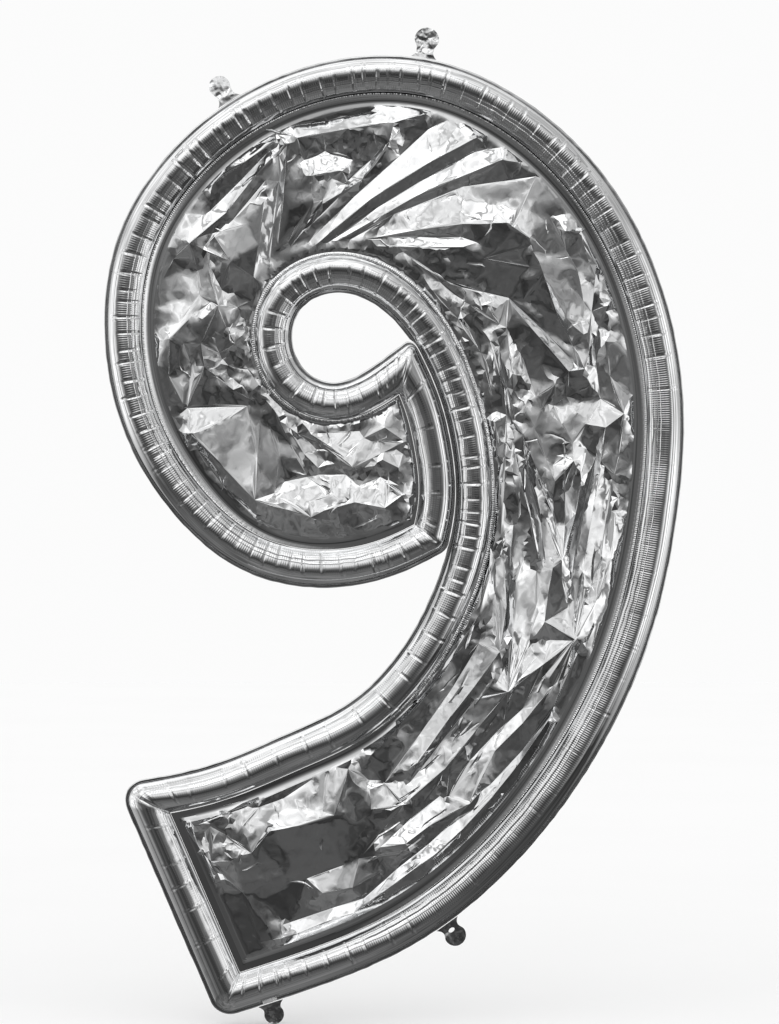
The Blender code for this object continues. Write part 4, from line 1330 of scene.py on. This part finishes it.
def border_middles(faces, ring):
    """The vertex halfway along each border edge."""
    neighbours = {}
    for face in faces:
        for a, b in ((face[0], face[1]), (face[1], face[2]), (face[2], face[0])):
            neighbours.setdefault(a, set()).add(b)
            neighbours.setdefault(b, set()).add(a)
    return [max(neighbours[a] & neighbours[b]) for a, b in zip(ring, ring[1:] + ring[:1])]


def border_walls(faces, ring, lining_ring):
    """Triangles between the lining's border and the sheet's, which subdivision has split once."""
    walls = []
    middles = border_middles(faces, ring)
    for i, middle in enumerate(middles):
        following = (i + 1) % len(ring)
        walls.append((ring[i], lining_ring[i], middle))
        walls.append((middle, lining_ring[i], lining_ring[following]))
        walls.append((middle, lining_ring[following], ring[following]))
    return walls


def build_web_film(name, side, rim, material):
    """The slack, crumpled front or back sheet inside the rim, as a closed shell."""
    rng = np.random.default_rng(SEEDS[name])
    border = Border(rim)
    size = len(border.ring)
    verts, heights, faces, source = crumpled_sheet(rng, rim, border, side).surface()
    verts, faces, heights = subdivide(verts, faces, heights, CREASE_ROUNDNESS)
    away, nearest = nearest_distance(verts, border.ring)
    part = away / border.strip[nearest]
    slope = border.foot[nearest] * np.clip(1 - part, 0, 1) ** STRIP_SLOPE
    heights = slope + np.maximum(heights, 0.0) * smoothstep(part, *CRUMPLES_BEGIN)
    level = side * (SHEET_GAP + np.maximum(heights, LOWEST_WEB))
    front = np.column_stack((verts[:, 0], level, verts[:, 1]))
    lining, lining_faces, lining_source = triangulate(border.ring, closed_edges(0, size))
    back = np.column_stack((lining[:, 0], np.full(len(lining), side * SHEET_GAP), lining[:, 1]))
    lining_ring = [len(front) + index for index in ring_indices(lining_source, size)]
    faces = faces.tolist()
    walls = border_walls(faces, ring_indices(source, size), lining_ring)
    faces += (len(front) + lining_faces[:, [0, 2, 1]]).tolist() + walls
    if side == BACK:
        faces = [face[::-1] for face in faces]
    web = new_mesh(name + "_crumpled", np.vstack((front, back)), faces, material)
    web.data.set_sharp_from_angle(angle=CREASE_ANGLE)
    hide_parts(name)
    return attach(web, "balloon")


def free_widths(ring, travelled, length):
    """How wide the flange can be at each point of the outline without meeting itself."""
    widths = np.empty(len(ring))
    for i, point in enumerate(ring):
        along = np.abs(travelled - travelled[i])
        along = np.minimum(along, length - along)
        apart = np.linalg.norm(ring - point, axis=1)
        widths[i] = (apart[along > NEIGHBOUR_REACH].min() - FLANGE_GAP) / 2
    return np.clip(widths, NARROWEST_FLANGE, FLANGE_WIDTH)


def build_flange(name, rim, material):
    """The welded edge outside the tube: a thin, slightly wavy ribbon round the whole outline."""
    rng = np.random.default_rng(SEEDS[name])
    ring, _ = even_ring(rim.outer, FLANGE_STEP)
    outward = left_of(unit(ring_direction(ring)))
    travelled = np.arange(len(ring)) * FLANGE_STEP
    width = free_widths(ring, travelled, len(ring) * FLANGE_STEP)
    width *= 1 + RAGGED * wander(rng, travelled, RAGGED_SPACING)
    wave = sum(height * MM * wander(rng, travelled, spacing * MM) for height, spacing in FLANGE_WAVES)
    ease = smoothstep(np.minimum(travelled, travelled[-1] - travelled), 0, WAVE_EASE)
    wave *= ease * width / FLANGE_WIDTH
    loops = []
    for face in (-1, 1):
        for part in FLANGE_PARTS[::-face]:
            reach = -FLANGE_ROOT + part * (width + FLANGE_ROOT)
            plan = ring + outward * reach[:, None]
            half = FLANGE_HALF[0] + FLANGE_HALF[1] * math.sin(math.pi * part)
            level = face * half * MM + wave * part**1.5
            loops.append(np.column_stack((plan[:, 0], level, plan[:, 1])))
    points = np.stack(loops, axis=1)
    faces = ring_faces(len(ring), points.shape[1], False)
    flange = new_mesh(name + "_ribbon", points.reshape(-1, 3), faces, material)
    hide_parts(name)
    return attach(flange, "balloon")


def tab_half_width(length, head):
    """Half-widths and distances of a tab's edge from its root to its round tip."""
    body = length - head
    edge = []
    for distance in np.linspace(TAB_ROOT_GAP, body, 26):
        flare = max(0.0, 1 - distance / TAB_FLARE_LENGTH) ** 2 * (TAB_FLARE - TAB_NECK)
        swell = float(smoothstep(distance, body / 2, body)) * (head - TAB_NECK)
        edge.append((TAB_NECK + flare + swell, distance))
    for angle in np.linspace(0, math.pi / 2, 18, endpoint=False)[1:]:
        edge.append((head * math.cos(angle), body + head * math.sin(angle)))
    return edge


def hinge_of(name):
    """Place, direction across and direction outward of a fold named in the record."""
    joints = frame["record"]["behaviour"]["joints"]
    joint = next(joint for joint in joints if joint["name"] == name)
    place = np.array((joint["pos_m"][0], joint["pos_m"][2]))
    across = np.array((joint["axis"][0], joint["axis"][2]))
    return place, across, np.array((-across[1], across[0]))


def tab_relief(rng, plan, spacing, height):
    """Creased heights of a crumpled flat piece."""
    low, high = plan.min(axis=0) - 2 * spacing, plan.max(axis=0) + 2 * spacing
    corners = [(low[0], low[1]), (high[0], low[1]), (high[0], high[1]), (low[0], high[1])]
    knots = np.vstack((corners, scattered(rng, low + spacing / 2, high - spacing / 2, spacing)))
    verts, faces, _ = triangulate(knots, closed_edges(0, 4))
    heights = rng.uniform(-1, 1, len(verts)) * height
    return interpolate(verts, heights, faces, plan)


def tab_outline(length, head):
    """Closed outline of a tab, as places across and out from its fold line."""
    half = tab_half_width(length, head)
    loop = [(-width, distance) for width, distance in half] + [(0.0, length)]
    loop += [(width, distance) for width, distance in reversed(half)]
    root = np.linspace(half[0][0], -half[0][0], 24)[1:-1]
    return loop + [(width, TAB_ROOT_GAP) for width in root]


def outside_hole(points, hole):
    """Square of how far points lie from the middle of an oval hole, counting its edge as 1."""
    return ((points - (0, RIBBON_HOLE_AT)) ** 2 / np.array(hole) ** 2).sum(axis=1)


def tab_plan(rng, outline, hole):
    """Plan points and triangles of a tab, with its hole if it has one."""
    points = list(outline)
    edges = closed_edges(0, len(points))
    if hole:
        turns = np.linspace(0, 2 * math.pi, 28, endpoint=False)
        edges += closed_edges(len(points), len(turns))
        points += [(hole[0] * math.cos(a), RIBBON_HOLE_AT + hole[1] * math.sin(a)) for a in turns]
    outline = np.array(outline)
    inner = scattered(rng, outline.min(axis=0), outline.max(axis=0), TAB_GRID)
    inner = inner[inside(inner, outline)]
    inner = inner[nearest_distance(inner, np.array(points))[0] > TAB_CLEARANCE]
    if hole:
        inner = inner[outside_hole(inner, hole) > 1.2]
    verts, faces, _ = triangulate(np.vstack((points, inner)), edges)
    if hole:
        faces = faces[outside_hole(verts[faces].mean(axis=1), hole) > 0.99]
    return verts, faces


def side_walls(faces, count):
    """Quads that join a front and a back along every edge that only one triangle has."""
    edges = dict.fromkeys((face[k - 1], face[k]) for face in faces for k in range(3))
    return [(b, a, count + a, count + b) for a, b in edges if (b, a) not in edges]


def build_tab(name, look, material):
    """A creased foil tab or tail ply that stands at its fold line."""
    rng = np.random.default_rng(SEEDS[name])
    place, across, outward = hinge_of(look["fold"])
    outline = tab_outline(look["length"] * MM, look["head"] * MM)
    verts, faces = tab_plan(rng, outline, look["hole"])
    relief = np.zeros(len(verts))
    for finer, lower in TAB_CREASES:
        relief += tab_relief(rng, verts, look["spacing"] / finer, look["height"] / lower)
    relief *= smoothstep(verts[:, 1], *TAB_CREASES_BEGIN)
    relief += look["lean"] * np.maximum(verts[:, 1] - TAB_LEAN_FROM, 0)
    if look["side"]:
        relief = look["side"] * np.abs(relief)
    plan = place + verts[:, :1] * across + verts[:, 1:] * outward
    near, far = look["levels"]
    front = np.column_stack((plan[:, 0], near + relief, plan[:, 1]))
    back = np.column_stack((plan[:, 0], far + relief, plan[:, 1]))
    count = len(verts)
    walls = side_walls(faces.tolist(), count)
    faces = faces.tolist() + (count + faces[:, ::-1]).tolist() + walls
    tab = new_mesh(name + "_creased", np.vstack((front, back)), faces, material)
    tab.data.set_sharp_from_angle(angle=CREASE_ANGLE)
    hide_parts(name)
    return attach(tab, look["body"])


def clear_film_material(name):
    """Milky polyethylene with a faint grain."""
    material, tree, shader, place = new_material(name)
    grain = noise(tree, place, 300.0, 3.0)
    tree.links.new(ramp(tree, grain, ((0.3, 0.78), (0.7, 0.9))), shader.inputs["Base Color"])
    tree.links.new(maths(tree, "MULTIPLY_ADD", grain, 0.2, 0.15), shader.inputs["Roughness"])
    shader.inputs["Transmission Weight"].default_value = 0.6
    return material


def finish_kept_nodes():
    """Give the part's own welds and valve films their finishes."""
    weld = foil_material("weld_foil", (0.82, 0.83, 0.84), 0.12, 0.00001)
    film = clear_film_material("valve_film_clear")
    finishes = {"inner_heat_seal": weld, "valve_front_film": film, "valve_back_film": film}
    for name, material in finishes.items():
        slots = frame["nodes"][name].data.materials
        slots.clear()
        slots.append(material)


def blend(tree, factor, first, second):
    """The first value where the factor is 0 and the second where it is 1."""
    inputs = {"Factor": factor, 2: first, 3: second}
    return node(tree, "ShaderNodeMix", inputs, data_type="FLOAT").outputs[0]


def build_world():
    """Soft studio: white for the eye and for matte surfaces, softboxes for mirror reflections."""
    world = bpy.data.worlds.new("studio")
    bpy.context.scene.world = world
    world.use_nodes = True
    tree = world.node_tree
    tree.nodes.clear()
    direction = node(tree, "ShaderNodeTexCoord").outputs["Generated"]
    x, y, z = node(tree, "ShaderNodeSeparateXYZ", {0: direction}).outputs
    height = maths(tree, "MULTIPLY_ADD", z, 0.5, 0.5)
    across = maths(tree, "MULTIPLY_ADD", x, 0.5, 0.5)
    turn = maths(tree, "ARCTAN2", x, maths(tree, "MULTIPLY", y, -1.0))
    turn = maths(tree, "MULTIPLY_ADD", turn, 0.5 / math.pi, 0.5)
    sky = maths(tree, "MULTIPLY", ramp(tree, height, SKY), ramp(tree, across, SKY_ACROSS))
    walls = maths(tree, "MULTIPLY", ramp(tree, turn, WALLS), ramp(tree, height, WALLS_UPWARD))
    studio = maths(tree, "MAXIMUM", maths(tree, "MAXIMUM", sky, walls), DARKEST_REFLECTION)
    studio = maths(tree, "MULTIPLY", studio, ramp(tree, noise(tree, direction, 5.0, 4.0), CLUTTER))
    rays = node(tree, "ShaderNodeLightPath").outputs
    plain = blend(tree, rays["Is Camera Ray"], STUDIO_FILL, BACKDROP_WHITE)
    strength = blend(tree, rays["Is Glossy Ray"], plain, studio)
    background = node(tree, "ShaderNodeBackground", {"Color": (1, 1, 1, 1), "Strength": strength})
    output = node(tree, "ShaderNodeOutputWorld")
    tree.links.new(background.outputs[0], output.inputs["Surface"])


def build_stage():
    """A plain pale floor just under the balloon."""
    material, tree, shader, place = new_material("stage_floor")
    color = ramp(tree, noise(tree, place, 3.0, 2.0), ((0.3, 0.925), (0.7, 0.935)))
    tree.links.new(color, shader.inputs["Base Color"])
    shader.inputs["Roughness"].default_value = 0.9
    shader.inputs["Specular IOR Level"].default_value = 0.0
    level = cad_box[0].z - STAGE_DROP
    corners = [(x * STAGE_HALF, y * STAGE_HALF, level) for x, y in ((-1, -1), (1, -1), (1, 1), (-1, 1))]
    floor = new_mesh("stage_floor", corners, [(0, 1, 2, 3)], material)
    floor.visible_glossy = False


def build_camera():
    """A long lens, level with the middle of the balloon and square to its front."""
    data = bpy.data.cameras.new("camera")
    data.sensor_width = SENSOR
    data.lens = SENSOR * CAMERA_DISTANCE / VIEW_HEIGHT
    camera = bpy.data.objects.new("camera", data)
    centre = (cad_box[0] + cad_box[1]) / 2
    camera.location = (centre.x + CAMERA_SHIFT[0], -CAMERA_DISTANCE, centre.z + CAMERA_SHIFT[1])
    camera.rotation_euler = (math.radians(90), 0, 0)
    bpy.context.scene.collection.objects.link(camera)
    bpy.context.scene.camera = camera
    bpy.context.scene.view_settings.view_transform = "Standard"


rim = Rim(build_runs(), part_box("front_rim_film"))
set_rim_character(rim)
rim_foil = foil_material("rim_foil", (0.90, 0.905, 0.91), 0.035, 0.000004, ribbed=True)
web_foil = foil_material("web_foil", (0.90, 0.905, 0.91), 0.025, 0.000004, swell=0.7)
flange_foil = foil_material("flange_foil", (0.80, 0.805, 0.81), 0.10, 0.000012)
tab_foil = foil_material("tab_foil", (0.84, 0.845, 0.85), 0.06, 0.000008)
build_rim_film("front_rim_film", FRONT, rim, rim_foil)
build_rim_film("back_rim_film", BACK, rim, rim_foil)
build_web_film("front_web_film", FRONT, rim, web_foil)
build_web_film("back_web_film", BACK, rim, web_foil)
build_flange("outer_heat_seal", rim, flange_foil)
for name, look in TAB_LOOKS.items():
    build_tab(name, look, tab_foil)
finish_kept_nodes()
build_world()
build_stage()
build_camera()
